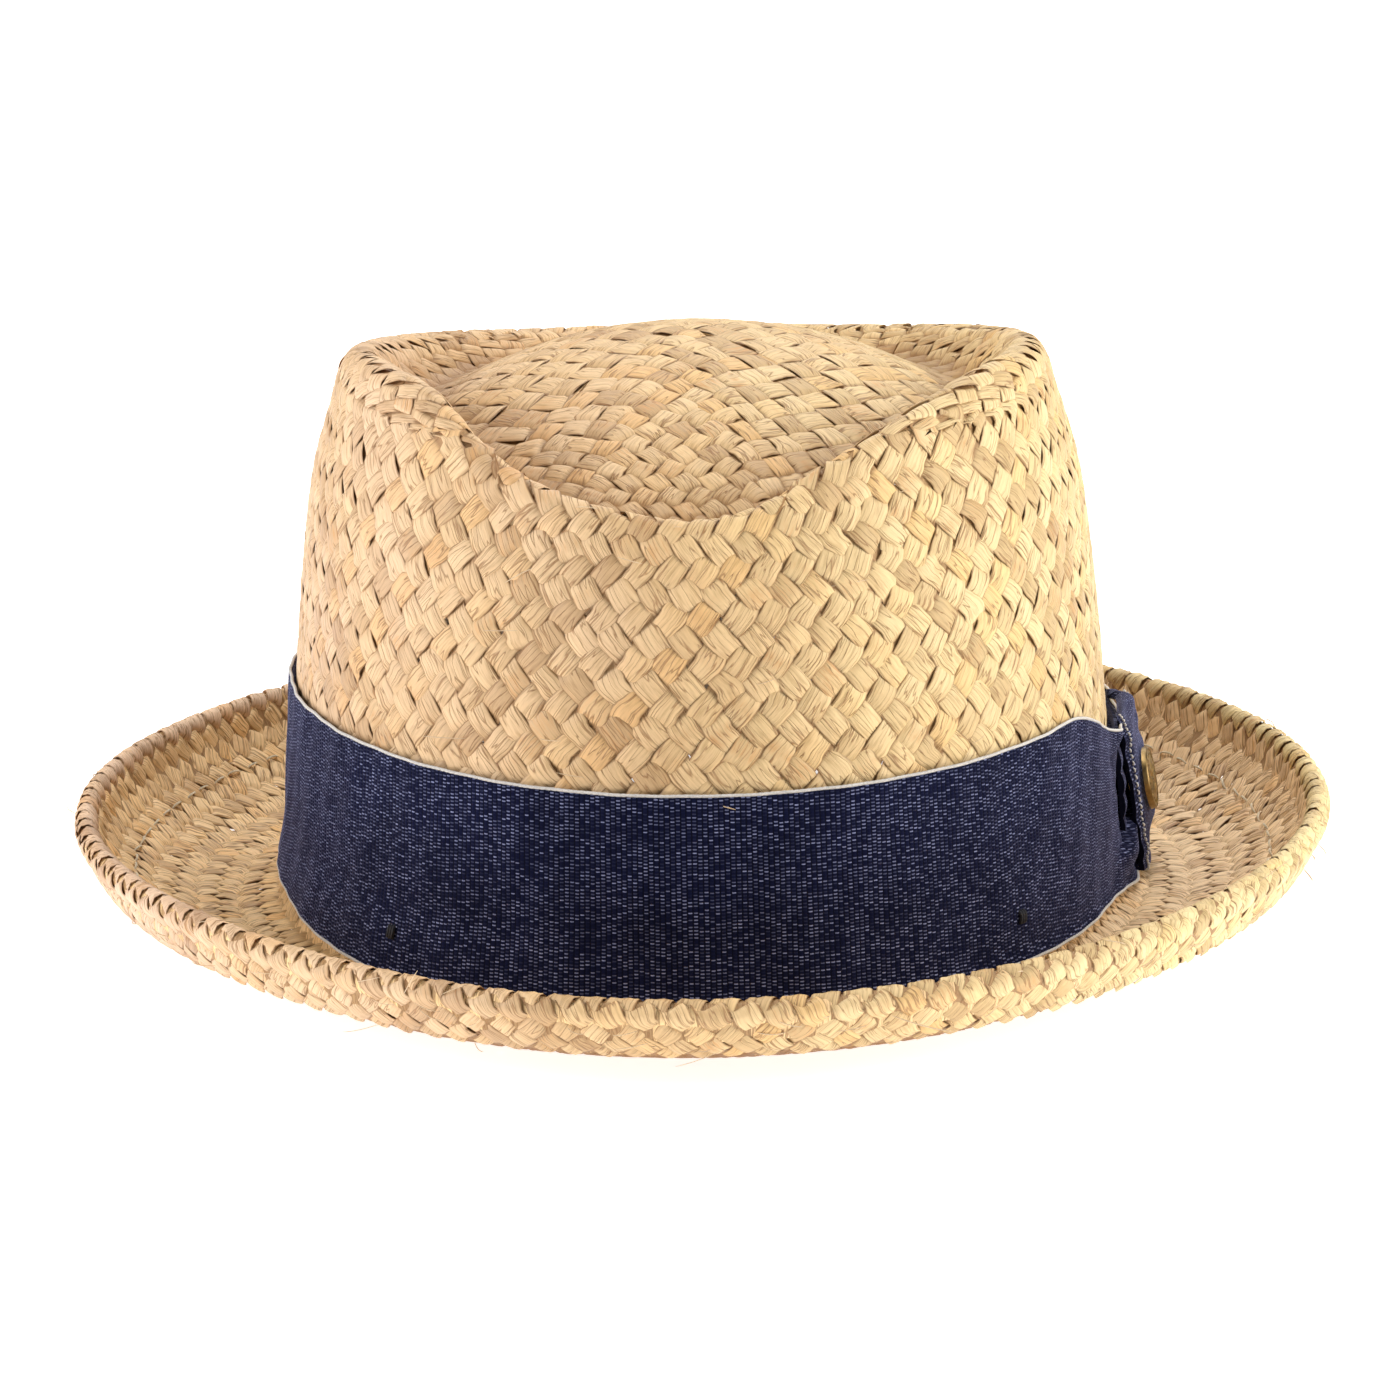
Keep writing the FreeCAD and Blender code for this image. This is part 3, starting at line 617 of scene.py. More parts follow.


def straw_material(name, gap_shade, creasing, tones):
    """Split palm leaf: fibres along each strand, creases, strands of mixed tones, and painted shade
    where strands dip, along their edges and in the crown's moat.

    tones are the leaf's colours at the wearer's right, in the middle and at the left; the change
    from side to side is partly the leaf's own colour and partly painted light, lighter and yellower
    on the wearer's left, the side the warmer lamp lights. gap_shade is the strength of the painted
    shade where strands dip.
    """
    material, tree, shader = material_tree(name)
    lay = node(tree, "ShaderNodeUVMap", uv_map="lay").outputs[0]
    tint = node(tree, "ShaderNodeAttribute", attribute_name="tint")
    parts = node(tree, "ShaderNodeSeparateXYZ", {0: tint.outputs["Vector"]})
    tone, level, patch = parts.outputs
    place = object_place(tree)
    where = node(tree, "ShaderNodeSeparateXYZ", {0: place})
    # Painted light: the leaf's tone shifts across the hat from the wearer's right to the left,
    # partly its own colour.
    leftward = ranged(tree, where.outputs[0], -SIDE_LIGHT_REACH, SIDE_LIGHT_REACH)
    side_light_share = math_node(tree, "MULTIPLY_ADD", noise(tree, place, 28.0, 2.0), 0.5,
                           math_node(tree, "MULTIPLY_ADD", leftward, 0.9, -0.2))
    base = stops(tree, side_light_share, tuple(zip((0.05, 0.45, 0.95), tones)))
    toned = stops(tree, tone, ((0.0, (0.72, 0.66, 0.60)), (0.25, (0.92, 0.90, 0.86)),
                               (0.6, (1.0, 1.0, 1.0)), (0.86, (1.0, 0.96, 0.88)),
                               (1.0, (0.97, 0.85, 0.68))))
    base = mixed(tree, 1.0, base, toned, "MULTIPLY")
    fibre = lay_noise(tree, lay, (9.0, 0.16, 1.0), 3.0, 0.6)
    browned = times(tree, ranged(tree, patch, 0.72, 1.0, 0.0, 0.9),
                    ranged(tree, fibre, 0.47, 0.6, 0.12, 1.0))
    base = mixed(tree, browned, base, PATCH_BROWN)
    crease = lay_noise(tree, lay, (4.2, 0.07, 1.0), 1.0)
    groove = ranged(tree, off_middle(tree, crease, 0.5), 0.0, creasing)
    base = mixed(tree, times(tree, rest_of_one(tree, groove), 0.8), base, CREASE_BROWN)
    veined = stops(tree, fibre, ((0.3, (0.78, 0.72, 0.64)), (0.5, (0.97, 0.95, 0.92)),
                                 (0.72, (1.06, 1.05, 1.02))))
    base = mixed(tree, 1.0, base, veined, "MULTIPLY")
    # Painted shade: darker brown along both edges of every strand.
    lay_across = node(tree, "ShaderNodeSeparateXYZ", {0: lay}).outputs[0]
    across = math_node(tree, "FRACT", times(tree, lay_across, 0.5))
    edge = math_node(tree, "SUBTRACT", 0.25, off_middle(tree, across, 0.25))
    base = mixed(tree, ranged(tree, edge, 0.006, 0.03, 0.75, 0.0), base, PAINTED_EDGE_SHADE)
    # Painted shade: darker brown where a strand dips under its neighbour and down in the crown's
    # moat.
    dip_shade = rest_of_one(tree, ranged(tree, level, 0.18, 0.5))
    base = mixed(tree, times(tree, dip_shade, gap_shade), base, PAINTED_GAP_SHADE)
    relief = math_node(tree, "MULTIPLY_ADD", groove, 0.6, times(tree, fibre, 0.55))
    set_surface(tree, shader, base, ranged(tree, fibre, 0.2, 0.8, 0.42, 0.66), relief, 0.75,
                0.00028, Specular_IOR_Level=0.45)
    return material


def cloth_material(name, colour, flecks, share, sheen=0.0):
    """Ribbed cloth with pale weft showing as short dashes on each rib, and painted shade in the
    grooves between ribs.
    """
    material, tree, shader = material_tree(name)
    lay = node(tree, "ShaderNodeUVMap", uv_map="lay").outputs[0]
    where = node(tree, "ShaderNodeSeparateXYZ", {0: lay})
    rib = math_node(tree, "FLOOR", where.outputs[0])
    shift = node(tree, "ShaderNodeTexWhiteNoise", {"W": rib}, noise_dimensions="1D").outputs[0]
    pick = math_node(tree, "MULTIPLY_ADD", shift, 0.9, where.outputs[1])
    cell = node(tree, "ShaderNodeCombineXYZ",
                {0: rib, 1: math_node(tree, "FLOOR", pick)}).outputs[0]
    chance = node(tree, "ShaderNodeTexWhiteNoise", {"Vector": cell},
                  noise_dimensions="2D").outputs[0]
    streak = lay_noise(tree, cell, (0.05, 0.35, 1.0), 3.0)
    within = off_middle(tree, math_node(tree, "FRACT", pick), 0.5)
    in_rib = off_middle(tree, math_node(tree, "FRACT", where.outputs[0]), 0.5)
    on_rib = ranged(tree, in_rib, 0.30, 0.46, 1.0, 0.0)
    relief = times(tree, ranged(tree, within, 0.10, 0.24, 1.0, 0.0), on_rib)
    bright = times(tree, math_node(tree, "POWER", chance, 1.9),
                   math_node(tree, "MULTIPLY_ADD", streak, 0.3, 0.35))
    base = mixed(tree, times(tree, times(tree, relief, bright), share), colour, flecks)
    # Painted shade: darker in the grooves between the ribs.
    base = mixed(tree, times(tree, rest_of_one(tree, on_rib), 0.9), base,
                 tuple(0.25 * c for c in colour[:3]) + (1,))
    worn = noise(tree, object_place(tree), 60.0, 3.0)
    shade = stops(tree, worn, ((0.3, (0.8, 0.8, 0.82)), (0.7, (1.12, 1.12, 1.14))))
    base = mixed(tree, 1.0, base, shade, "MULTIPLY")
    set_surface(tree, shader, base, 0.8, relief, 0.6, 0.00012, Specular_IOR_Level=0.06,
                Sheen_Weight=sheen, Sheen_Roughness=0.35, Sheen_Tint=(0.55, 0.58, 1.0, 1))
    return material


def thread_material(name, colour, rough=0.7, sheen=0.2):
    """Spun thread: fine slanting fibres and a little unevenness."""
    material, tree, shader = material_tree(name)
    fuzz = noise(tree, object_place(tree), 2600.0, 3.0)
    shade = stops(tree, fuzz, ((0.25, tuple(0.72 * c for c in colour)), (0.6, colour)))
    set_surface(tree, shader, shade, rough, fuzz, 0.5, 0.0001, Sheen_Weight=sheen)
    return material


def brass_material(name):
    """Antique brass: dark in the hollows, rubbed bright on the high places."""
    material, tree, shader = material_tree(name)
    stain = noise(tree, object_place(tree), 420.0, 5.0)
    worn = node(tree, "ShaderNodeNewGeometry").outputs["Pointiness"]
    share = math_node(tree, "MULTIPLY_ADD", stain, 0.7,
                      times(tree, ranged(tree, worn, 0.47, 0.56), 0.5))
    base = stops(tree, share, ((0.2, (0.10, 0.065, 0.03)), (0.5, (0.38, 0.26, 0.11)),
                               (0.85, (0.68, 0.52, 0.26))))
    set_surface(tree, shader, base, ranged(tree, stain, 0.0, 1.0, 0.28, 0.55), stain, 0.3, 0.0001,
                Metallic=1.0)
    return material


def floor_material():
    """Plain pale floor with the faintest grain."""
    material, tree, shader = material_tree("floor")
    grain = noise(tree, object_place(tree), 8.0, 2.0)
    shade = stops(tree, grain, ((0.3, (0.84, 0.84, 0.84)), (0.7, (0.86, 0.86, 0.86))))
    tree.links.new(shade, shader.inputs["Base Color"])
    shader.inputs["Roughness"].default_value = 0.9
    shader.inputs["Emission Color"].default_value = (1, 1, 1, 1)
    shader.inputs["Emission Strength"].default_value = 0.8
    return material


# ---- ribbon and its cords

RIB_COUNT = 560
RIB_COLUMNS = 4          # columns of mesh to a rib
RIB_RELIEF = 0.11
PICK = 0.68              # height of one weft row of the ribbon
RIBBON_GAP, RIBBON_THICK = 0.3, 0.75
RIBBON_HEIGHT = 40.0
GATHER_START, KEEPER_HALF = 55.0, 12.0      # along the hat, from the middle of the bow
CORD_RADIUS, CORD_TWIST = 0.36, 1.25


def straw_face(height):
    """Offset of the straw's outer face from the headline's oval, at a height."""
    flare = np.interp(height, (2.0, 2.6, 4.0, 6.0, 8.0), (5.0, 3.0, 1.25, 0.2, 0.0))
    return flare - LEAN * (height - HEADLINE)


def bow_nearness(angle):
    """0 along the plain ribbon, rising to 1 at the edge of the bow's keeper."""
    along = np.abs(HALF_Y * np.sin(angle))
    reach = smooth((GATHER_START - along) / (GATHER_START - KEEPER_HALF))
    return np.where(np.cos(angle) > 0, reach, 0)


def ribbon_low(angle):
    """Height of the ribbon's lower edge."""
    front = np.maximum(0, -np.sin(angle))
    right_side = np.maximum(0, -np.cos(angle))
    plain = 7.9 - 3.6 * smooth(1.6 * front) + 1.3 * front ** 8 + 2.4 * right_side ** 4
    return plain + (3.9 - plain) * bow_nearness(angle)


def ribbon_high(angle):
    """Height of the ribbon's upper edge."""
    right_side = np.maximum(0, -np.cos(angle))
    plain = 47.6 - 0.3 * np.maximum(0, -np.sin(angle)) ** 2 + 2.2 * right_side ** 2
    return plain + (35.6 - plain) * bow_nearness(angle)


def ripple(angle, height):
    """Slight unevenness of the ribbon on the plait, and its folds beside the bow."""
    calm = 0.16 * np.sin(23 * angle + 0.09 * height) + 0.10 * np.sin(61 * angle - 0.2 * height)
    along = HALF_Y * np.sin(angle)
    away = np.abs(along)
    at_bow = np.where(np.cos(angle) > 0, 1.0, 0.0)
    low, high = ribbon_low(angle), ribbon_high(angle)
    share = (height - low) / (high - low)
    crease = np.where(along < 0, 0.14, 0.42) + 0.011 * (30 - away)
    below = 1 - smooth((share - crease) / 0.035 + 0.5)
    puffed = 3.6 * smooth((31 - away) / 14) * below * (0.45 + 0.55 * smooth(share / 0.2))
    pulled = 2.2 * smooth((27 - away) / 12) * smooth((share - 0.8) / 0.2)
    wander = 0.25 * np.sin(0.21 * away + 5 * share)
    fine = 0.55 * (np.abs(np.sin(math.pi * (4.6 * share + 0.05 * away + wander))) - 0.6)
    fine = fine * smooth((38 - away) / 20) * smooth((away - 11) / 8)
    flare = 1.7 * smooth((22 - height) / 16) * smooth(-1.4 * np.cos(angle))
    tucked = 0.5 * smooth((18 - away) / 4) * (1 - below)
    return calm + flare + at_bow * (puffed + pulled + fine - tucked)


def hatband(material):
    """The ribbon: a closed band with a rib at every thread of its warp."""
    columns = RIB_COUNT * RIB_COLUMNS
    share = np.arange(columns) / columns
    angle = even_angle(share)[:, None]
    rows = 36
    up = np.linspace(0, 1, rows)[None]
    low, high = ribbon_low(angle), ribbon_high(angle)
    height = low + up * (high - low)
    in_rib = (np.arange(columns) % RIB_COLUMNS / RIB_COLUMNS)[:, None]
    relief = RIB_RELIEF * (0.5 - 0.5 * np.cos(2 * math.pi * in_rib))
    outward = RIBBON_GAP + RIBBON_THICK + ripple(angle, height) + relief
    outer = oval(angle, straw_face(height) + outward, height)
    inner_height = np.concatenate((high, (high + low) / 2, low), 1)
    inner_out = straw_face(inner_height) + RIBBON_GAP + ripple(angle, inner_height)
    inner = oval(angle, inner_out, inner_height)
    points = np.concatenate((outer, inner), 1)
    share_up = np.concatenate((up[0], (1, 0.5, 0)))
    uv = stacked(np.arange(columns)[:, None] / RIB_COLUMNS, share_up * RIBBON_HEIGHT / PICK)
    return ring_object("ribbon", points, uv, material, "ribbon", "hatband", flipped=True)


def twisted_cord(name, height, outward, node_name, material):
    """Two-ply cord round the hat along an edge of the ribbon."""
    turns = int(OVAL_LENGTH / CORD_TWIST)
    count = turns * 8
    share = np.arange(count) / count
    angle = even_angle(share)
    z = height(angle)
    around = 8
    phase = np.arange(around) / around * 2 * math.pi
    radius = CORD_RADIUS * (0.78 + 0.22 * np.abs(np.cos(
        phase[None] - math.pi * share[:, None] * turns)))
    offset = straw_face(z) + outward + ripple(angle, z)
    points = oval(angle[:, None], offset[:, None] + radius * np.cos(phase),
                  z[:, None] + radius * np.sin(phase))
    uv = stacked(share[:, None] * OVAL_LENGTH, phase)
    return ring_object(name, points, uv, material, "white_thread", node_name)


# ---- small shapes

def side_point(y, z, out):
    """Point at the wearer's left, by its place along the hat, its height and its stand-off."""
    offset = straw_face(z) + out
    angle = np.arcsin(np.clip(y / (HALF_Y + offset), -1, 1))
    return oval(angle, offset, z)


def closed_patch(name, outer, inner, uv_scale, material, slot, replaced):
    """Closed solid between two grids of points."""
    rows, columns = outer.shape[:2]
    around = np.concatenate((outer, inner[:, ::-1]), 1)
    quads, _ = tube_faces(rows, 2 * columns, 0)
    across = np.concatenate((np.arange(columns), np.arange(columns)[::-1])) / (columns - 1)
    down = np.arange(rows) / (rows - 1)
    uv = stacked(across * uv_scale[0], down[:, None] * uv_scale[1])
    caps = []
    for start, turned in ((0, False), ((rows - 1) * 2 * columns, True)):
        for k in range(columns - 1):
            cap = [k, k + 1, 2 * columns - 2 - k, 2 * columns - 1 - k]
            caps.append([start + c for c in (cap if turned else cap[::-1])])
    return make_object(name, around, [quads, np.array(caps)], uv, material, slot, replaced)


def thread_tube(path, normals, radius, sides):
    """Grids of a thin tube along a path, narrowed at both ends, and of its coordinates."""
    travel = unit(np.gradient(path, axis=0))
    across = unit(np.cross(normals, travel))
    up = np.cross(travel, across)
    share = np.arange(sides) / sides
    turn = share * 2 * math.pi
    taper = radius * np.where(np.isin(np.arange(len(path)), (0, len(path) - 1)), 0.45, 1.0)
    ring = np.cos(turn)[:, None] * across[:, None] + np.sin(turn)[:, None] * up[:, None]
    points = path[:, None] + ring * taper[:, None, None]
    return points, stacked(np.arange(len(path))[:, None], share)


# ---- bow and stud

# The keeper's path: stand-off from the straw and height, from behind its lower end up over
# the gathered ribbon and in behind its upper end.
KEEPER_PATH = ((2.4, 6.5), (3.4, 4.3), (4.6, 3.4), (5.9, 4.2), (7.2, 7.0), (8.2, 10.5),
               (8.1, 14.0), (7.45, 19.0), (7.0, 25.0), (6.4, 30.0), (5.9, 34.0), (5.0, 37.6),
               (3.4, 38.2), (2.4, 36.6))
KEEPER_CLOTH = 0.9       # thickness of the keeper's folded cloth
KEEPER_SKEW = 2.1        # how far its sides turn with the stud's face
STUD_FOOT = np.array((88.208, 0.0, 20.0))
STUD_TILT, STUD_LEAN = math.radians(10), math.radians(10)
STUD_AXIS = np.array((math.cos(STUD_LEAN) * math.cos(STUD_TILT),
                      -math.cos(STUD_LEAN) * math.sin(STUD_TILT), math.sin(STUD_LEAN)))
STUD_STANDOFF = 8.7      # from the axis's foot on the straw to the middle of the disc
STUD_CENTRE = STUD_FOOT + STUD_STANDOFF * STUD_AXIS
BEADS, RAYS = 24, 8


def keeper_surface(inward, across, along):
    """Grid of the keeper: across its width, and along its path."""
    path = b_spline(np.array(KEEPER_PATH)[:, None, :])[:, 0]
    place = along * (len(path) - 1)
    out = np.interp(place, np.arange(len(path)), path[:, 0])
    height = np.interp(place, np.arange(len(path)), path[:, 1])
    slope_out, slope_up = np.gradient(out), np.gradient(height)
    size = np.hypot(slope_out, slope_up)
    out = out - inward * slope_up / size
    height = height + inward * slope_out / size
    a, o, z = across, out[:, None], height[:, None]
    turned = smooth((z - 3) / 9) * KEEPER_SKEW * smooth((o - 2.5) / 2.5)
    rolled = 0.9 * smooth((-a - 0.72) / 0.28) + 2.4 * smooth((a - 0.7) / 0.3)
    narrow = 1 - 0.05 * np.sin(math.pi * np.clip((z - 4) / 34, 0, 1))
    y = KEEPER_HALF * narrow * a
    clear = smooth((np.hypot(y + 1.5, z - STUD_CENTRE[2]) - 7.5) / 5)
    crumple = clear * (0.28 * np.sin(0.5 * z + 3.0 * a) + 0.16 * np.sin(1.3 * z - 4.0 * a))
    return side_point(y, z, np.maximum(o + turned * a - rolled + crumple, 1.6))


def bow_keeper(material):
    """Upright wrap of ribbon that holds the gather."""
    across, along = np.linspace(-1, 1, 33), np.linspace(0, 1, 90)
    outer = keeper_surface(0.0, across, along)
    inner = keeper_surface(KEEPER_CLOTH, across * 0.985, along)
    return closed_patch("keeper_band", outer, inner, (22.0, 70.0), material, "ribbon",
                        "bow_keeper")


def keeper_seams(material):
    """A row of running stitches down each edge of the keeper."""
    across = np.linspace(-1, 1, 81)
    along = np.linspace(0.10, 0.90, 321)
    grid = keeper_surface(-0.12, across, along)
    normal = unit(np.cross(np.gradient(grid, axis=1), np.gradient(grid, axis=0)))
    tubes = []
    for column in (6, 74):
        for start in range(0, 312, 9):
            rows = np.linspace(start, start + 6, 5)
            whole = rows.astype(int)
            path = grid[whole, column] + normal[whole, column] * np.array(
                (-0.25, 0.12, 0.18, 0.12, -0.25))[:, None]
            tubes.append(thread_tube(path, normal[whole, column], 0.24, 7))
    tubes_object("keeper_seams", tubes, material, "white_thread", "keeper_stitching")


def gather_core(material):
    """The ribbon's pleats under the keeper."""
    across, up = np.linspace(-15.5, 15.5, 60), np.linspace(5.0, 35.0, 90)
    y, z = np.meshgrid(across, up, indexing="xy")
    pleat = 0.5 * np.abs(np.sin(z * 0.62 + 0.05 * y)) + 0.25 * np.sin(z * 0.31 + 1.0)
    beside = smooth((np.abs(y) - 7) / 4) * smooth((15.5 - np.abs(y)) / 2)
    out = 2.0 + pleat + 0.2 * beside
    return closed_patch("bow_pleats", side_point(y, z, out), side_point(y, z, 1.25),
                        (28.0, 44.0), material, "ribbon", "bow_gather")


def stud_cap(material):
    """Domed brass disc: a rolled rim, a ring of beads, plain rays and small dents."""
    centre, axis = STUD_CENTRE, STUD_AXIS
    side = np.array((math.sin(STUD_TILT), math.cos(STUD_TILT), 0.0))
    up = np.cross(axis, side)
    radius, thick, around = 6.8, 1.5, 192
    shares = np.concatenate(((0.02,), np.linspace(0.06, 1.0, 40)))
    turn = np.arange(around) / around * 2 * math.pi
    s, t = np.meshgrid(shares, turn, indexing="ij")
    x, y = s * np.cos(t), s * np.sin(t)
    dome = 0.55 * (1 - s ** 2)
    rim = 0.28 * np.exp(-((s - 0.93) / 0.05) ** 2) - 0.9 * smooth((s - 0.955) / 0.045) ** 2
    beads = 0.24 * np.exp(-((s - 0.76) / 0.05) ** 2) * np.clip(np.cos(BEADS * t), 0, 1)
    rays = 0.16 * np.cos(RAYS * t) * smooth((0.62 - s) / 0.2) * smooth((s - 0.12) / 0.1)
    dents = 0.05 * np.sin(17 * x + 3 * y) * np.cos(13 * y - 4 * x) * (s < 0.9)
    height = thick - 0.75 + dome + rim + beads + rays + dents
    back = 0.97 * radius * stacked(np.cos(turn), np.sin(turn))[None]
    flat = np.concatenate((stacked(x, y) * radius, back, 0.03 * back))
    tall = np.concatenate((height, np.zeros((2, around)) + 0.02))
    points = (centre + axis * (tall[..., None] - thick / 2) + side * flat[..., :1]
              + up * flat[..., 1:])
    quads, ends = tube_faces(len(points), around, 0)
    make_object("stud_disc", points, [quads, ends], flat, material, "brass", "stud_cap",
                body="stud")


# ---- stitches and lining

STITCH_OFFSET = 33.3     # where the hem's sewing runs, outside the headline
BRIM_STITCHES, LINING_STITCHES, LOOSE_FIBRES = 112, 150, 150
LINING_RIBS = 300
TACK_ANGLE = math.radians(45)
REED_RADIUS = 0.78


def row_at_offset(offset):
    """Row of the brim's table that lies an offset outside the headline."""
    across = brim_table[:, 0, 0] - HALF_X
    climbing = len(across) * 2 // 3
    return np.interp(offset, across[:climbing], np.arange(climbing))


def brim_stitches(material):
    """The hem's sewing, seen on the brim's upper face as long slanting stitches."""
    row = row_at_offset(STITCH_OFFSET)
    tubes = []
    for number in range(BRIM_STITCHES):
        start = (number + 0.25 * rng.random()) / BRIM_STITCHES
        share = start + np.linspace(0, 0.62, 7) / BRIM_STITCHES
        slant = rng.normal() * 0.9
        rows = row + slant * np.linspace(-1, 1, 7)
        point, normal = look_up(brim_table, rows, even_angle(share))
        rise = np.array((-0.2, 0.95, 1.25, 1.3, 1.25, 0.95, -0.2))
        tubes.append(thread_tube(point + normal * rise[:, None], normal, 0.26, 6))
    tubes_object("brim_stitches", tubes, material, "white_thread", "brim_stitching")


def tack_threads(material):
    """Two short tacks low on the ribbon, left and right of the front."""
    low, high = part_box("tack_stitches")
    tubes = []
    for side in (-1, 1):
        angle = -math.pi / 2 + side * TACK_ANGLE
        for shift in (-0.6, 0.0, 0.6):
            height = np.linspace(low.z, high.z, 7) / MM
            turned = angle + (shift + 0.12 * np.sin(height * 2)) / HALF_X
            out = straw_face(height) + RIBBON_GAP + RIBBON_THICK + np.array(
                (-0.1, 0.35, 0.5, 0.5, 0.5, 0.35, -0.1)) + ripple(turned, height)
            path = oval(turned, out, height)
            normal = oval(turned, out + 1, height) - oval(turned, out, height)
            tubes.append(thread_tube(path, normal, 0.4, 6))
    tubes_object("ribbon_tacks", tubes, material, "dark_thread", "tack_stitches")


def loose_fibres(material):
    """A few broken leaf fibres that stand off the brim's edge and the crown."""
    tubes = []
    for number in range(LOOSE_FIBRES):
        angle = np.array([rng.random() * 2 * math.pi])
        if number % 3:
            row = rng.uniform(0.80, 0.99) * (BRIM_TABLE_ROWS - 1)
            point, normal = look_up(brim_table, np.array([row]), angle)
        else:
            row = rng.uniform(0.02, 0.65) * (WALL_ROWS - 1)
            point, normal = look_up(wall_table, np.array([row]), angle)
        tangent = unit(np.cross((0, 0, 1), normal[0]))
        length = rng.uniform(2.0, 6.5)
        way = tangent * rng.choice((-1, 1)) + rng.normal(size=3) * 0.35
        t = np.linspace(0, 1, 7)[:, None]
        lift = normal[0] * (0.7 + 1.5 * np.sin(t * 2.2) * rng.uniform(0.3, 1.0))
        path = point[0] + way * t * length + lift
        tubes.append(thread_tube(path, np.tile(normal[0], (7, 1)), rng.uniform(0.07, 0.13), 5))
    tubes_object("loose_fibres", tubes, material, "straw")


def lining_out(height):
    """Stand-off of the sweatband's outer side, inside the straw."""
    return straw_face(np.maximum(height, HEADLINE)) - 2.2


def lining_band(material):
    """The sweatband: a closed band inside the hat, with fine ribs on its inner side."""
    low, high, thick = 8.8, 42.0, 0.8
    columns = LINING_RIBS * 4
    angle = even_angle(np.arange(columns) / columns)[:, None]
    rows = 16
    up = np.linspace(0, 1, rows)[None]
    sway = 0.25 * np.sin(9 * angle) + 0.15 * np.sin(31 * angle)
    height = low + up * (high - low) + sway * up
    relief = 0.05 * (1 - np.cos(2 * math.pi * np.arange(columns) / 4))[:, None]
    hem = 0.22 * np.exp(-((up - 0.93) / 0.05) ** 2)
    inner = oval(angle, lining_out(height) - thick - relief - hem, height)
    back_height = np.concatenate((height[:, -1:], height[:, :1]), 1)
    outer = oval(angle, lining_out(back_height), back_height)
    uv = stacked(np.arange(columns)[:, None] / 4,
                 np.concatenate((height, back_height), 1) / 0.7)
    return ring_object("sweatband_cloth", np.concatenate((inner, outer), 1), uv, material,
                       "sweatband_cotton", "sweatband")


def reed(material):
    """Rolled cord along the sweatband's lower edge."""
    low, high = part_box("sweatband_reed")
    height = (low.z + high.z) / 2 / MM
    count, around = 720, 10
    angle = even_angle(np.arange(count) / count)[:, None]
    phase = np.arange(around)[None] / around * 2 * math.pi
    offset = lining_out(height) - 0.75 + REED_RADIUS * np.cos(phase)
    points = oval(angle, offset, height + REED_RADIUS * np.sin(phase))
    ring_object("sweatband_piping", points, stacked(angle * 90, phase), material,
                "sweatband_cotton", "sweatband_reed")


def lining_stitches(material):
    """Running stitches that hold the sweatband to the straw."""
    low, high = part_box("sweatband_stitching")
    height = (low.z + high.z) / 2 / MM
    tubes = []
    for number in range(LINING_STITCHES):
        angle = even_angle((number + np.linspace(0, 0.6, 6)) / LINING_STITCHES)
        rise = np.array((0.15, -0.25, -0.35, -0.35, -0.25, 0.15))
        out = lining_out(height) - 0.95 + rise
        path = oval(angle, out, height)
        normal = oval(angle, out - 1, height) - oval(angle, out, height)
        tubes.append(thread_tube(path, normal, 0.2, 5))
    tubes_object("sweatband_sewing", tubes, material, "white_thread", "sweatband_stitching")


def lining_patch(name, node_name, material, slot, puff):
    """Small piece of cloth sewn on the sweatband, where its CAD node is."""
    low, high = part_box(node_name)
    across = np.linspace(low.x, high.x, 26) / MM
    up = np.linspace(low.z, high.z, 22) / MM
    x, z = np.meshgrid(across, up, indexing="xy")
    a = np.abs(2 * (x - x.mean()) / (x.max() - x.min()))
    b = np.abs(2 * (z - z.mean()) / (z.max() - z.min()))
    edge = smooth((1 - np.maximum(a, b)) / 0.12)
    out = lining_out(z) - 1.15
    angle = math.pi / 2 - np.arcsin(x / (HALF_X + out))
    raised = 0.35 + puff * edge + 0.08 * np.sin(3 * x + z)
    inner = oval(angle, out - raised, z)
    outer = oval(angle, out + 0.05, z)
    return closed_patch(name, inner, outer, (24.0, 20.0), material, slot, node_name)


# ---- scene

def dress_nodes(materials):
    """Materials for the CAD nodes that stay in view."""
    for name, material in materials.items():
        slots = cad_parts[name].data.materials
        slots.clear()
        slots.append(material)


VIEW_ELEVATION, VIEW_YAW, VIEW_ROLL = 14.5, 0.6, 1.12
VIEW_DISTANCE = 1220.0
VIEW_SCALE = 4.668       # image points to a millimetre at the target, in a 1400 wide image
VIEW_TARGET = (0.0, 0.0, 40.5)
SENSOR, IMAGE_WIDTH = 36.0, 1400


def make_camera():
    """Camera in front of the hat, a little above its brim."""
    data = bpy.data.cameras.new("camera")
    data.sensor_width = SENSOR
    data.lens = VIEW_SCALE * VIEW_DISTANCE * SENSOR / IMAGE_WIDTH
    data.clip_start, data.clip_end = 0.01, 20
    camera = bpy.data.objects.new("camera", data)
    bpy.context.scene.collection.objects.link(camera)
    rise, yaw = math.radians(VIEW_ELEVATION), math.radians(VIEW_YAW)
    back = Vector((-math.cos(rise) * math.sin(yaw), -math.cos(rise) * math.cos(yaw),
                   math.sin(rise)))
    camera.location = (Vector(VIEW_TARGET) + back * VIEW_DISTANCE) * MM
    camera.rotation_mode = "QUATERNION"
    camera.rotation_quaternion = (-back).to_track_quat("-Z", "Y") @ Quaternion(
        (0, 0, 1), math.radians(-VIEW_ROLL))
    bpy.context.scene.camera = camera


def area_light(name, place, size, power, colour):
    """Soft rectangular light that faces the hat."""
    data = bpy.data.lights.new(name, "AREA")
    data.shape = "RECTANGLE"
    data.size, data.size_y = size
    data.energy = power
    data.color = colour
    light = bpy.data.objects.new(name, data)
    light.location = place
    aim = Vector((0, 0, 0.06)) - Vector(place)
    light.rotation_mode = "QUATERNION"
    light.rotation_quaternion = aim.to_track_quat("-Z", "Y")
    bpy.context.scene.collection.objects.link(light)


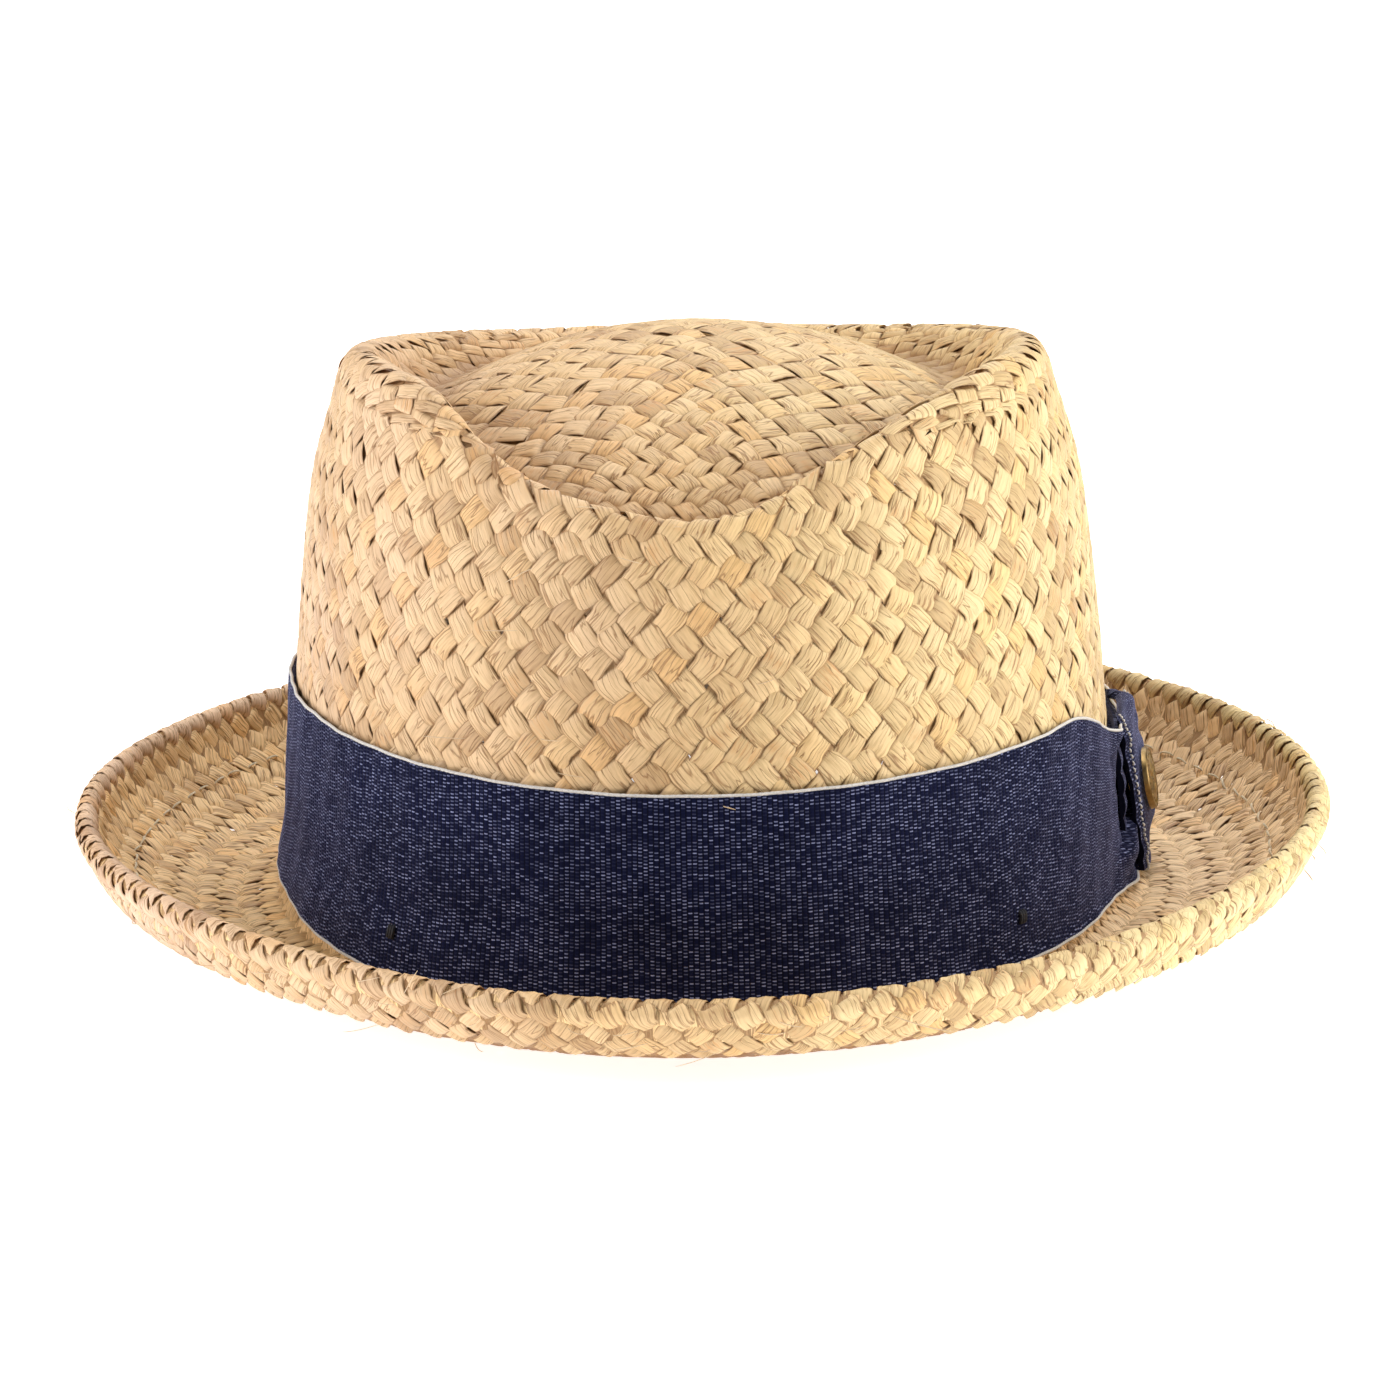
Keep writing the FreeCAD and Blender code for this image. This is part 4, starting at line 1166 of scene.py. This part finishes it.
def make_studio():
    """Pale floor, white surroundings and soft lights."""
    world = bpy.data.worlds.new("studio")
    world.use_nodes = True
    world.node_tree.nodes["Background"].inputs[0].default_value = (1, 1, 1, 1)
    world.node_tree.nodes["Background"].inputs[1].default_value = 0.2
    bpy.context.scene.world = world
    area_light("right", (1.3, -0.40, 0.55), (0.5, 0.8), 15.3, (1.0, 0.96, 0.88))
    area_light("left", (-1.3, -0.30, 0.55), (0.5, 0.8), 13.5, (1.0, 0.97, 0.95))
    area_light("top", (0.1, 0.2, 1.4), (0.7, 0.7), 10.5, (1.0, 0.98, 0.95))
    area_light("back", (0.2, 1.1, 0.9), (1.2, 0.6), 6.0, (1.0, 1.0, 1.0))
    mesh = bpy.data.meshes.new("floor")
    reach = 12.0
    corners = [(-reach, -reach, 0), (reach, -reach, 0), (reach, reach, 0), (-reach, reach, 0)]
    mesh.from_pydata(corners, [], [(0, 1, 2, 3)])
    mesh.materials.append(floor_material())
    floor = bpy.data.objects.new("floor", mesh)
    bpy.context.scene.collection.objects.link(floor)
    bpy.context.scene.view_settings.view_transform = "Standard"


make_camera()
make_studio()

straw = straw_material("straw", 0.75, 0.03, ((0.79, 0.57, 0.405), (0.79, 0.565, 0.315),
                                            (0.88, 0.73, 0.41)))
# The brim's straw is the crown's straw painted lighter and more orange, with deeper painted shade in
# its gaps: partly the brim's own leaf, partly painted light.
lit_brim_straw = straw_material("lit_brim_straw", 0.97, 0.06, ((0.99, 0.71, 0.38), (0.96, 0.70, 0.38),
                                                       (1.0, 0.75, 0.47)))
ribbon_cloth = cloth_material("ribbon_cloth", (0.004, 0.006, 0.030, 1), (0.32, 0.36, 0.60, 1), 1.7,
                              0.46)
white_thread = thread_material("white_thread", (0.66, 0.64, 0.62))
dark_thread = thread_material("dark_thread", (0.005, 0.006, 0.014), sheen=0.0)
lining = cloth_material("sweatband_cotton", (0.28, 0.22, 0.15, 1), (0.75, 0.68, 0.56, 1), 1.0)
label_cloth = cloth_material("label_cloth", (0.62, 0.60, 0.56, 1), (0.85, 0.84, 0.80, 1), 0.8)
brass = brass_material("antique_brass")
sewing_thread = thread_material("sewing_thread", (0.80, 0.70, 0.52))
fibre = thread_material("leaf_fibre", (0.70, 0.52, 0.32), 0.5)

plait_crown(straw)
plait_brim(lit_brim_straw, straw)
edge_core(lit_brim_straw)
ribbon = hatband(ribbon_cloth)
cords = [twisted_cord("ribbon_lower_cord", lambda angle: ribbon_low(angle) - 0.35, 0.85,
                      "hatband_lower_cord", white_thread),
         twisted_cord("ribbon_upper_cord", lambda angle: ribbon_high(angle) + 0.35, 0.85,
                      "hatband_upper_cord", white_thread)]
pleats = gather_core(ribbon_cloth)
keeper = bow_keeper(ribbon_cloth)
keeper_seams(white_thread)
stud_cap(brass)
brim_stitches(sewing_thread)
tack_threads(dark_thread)
loose_fibres(fibre)
lining_cloth = lining_band(lining)
reed(lining)
lining_stitches(white_thread)
tape = lining_patch("back_seam_tape", "sweatband_seam_tape", lining, "sweatband_cotton", 0.3)
label = lining_patch("blank_label", "size_label", label_cloth, "label_cloth", 0.2)
dress_nodes({"stud_post": brass, "stud_washer": brass})
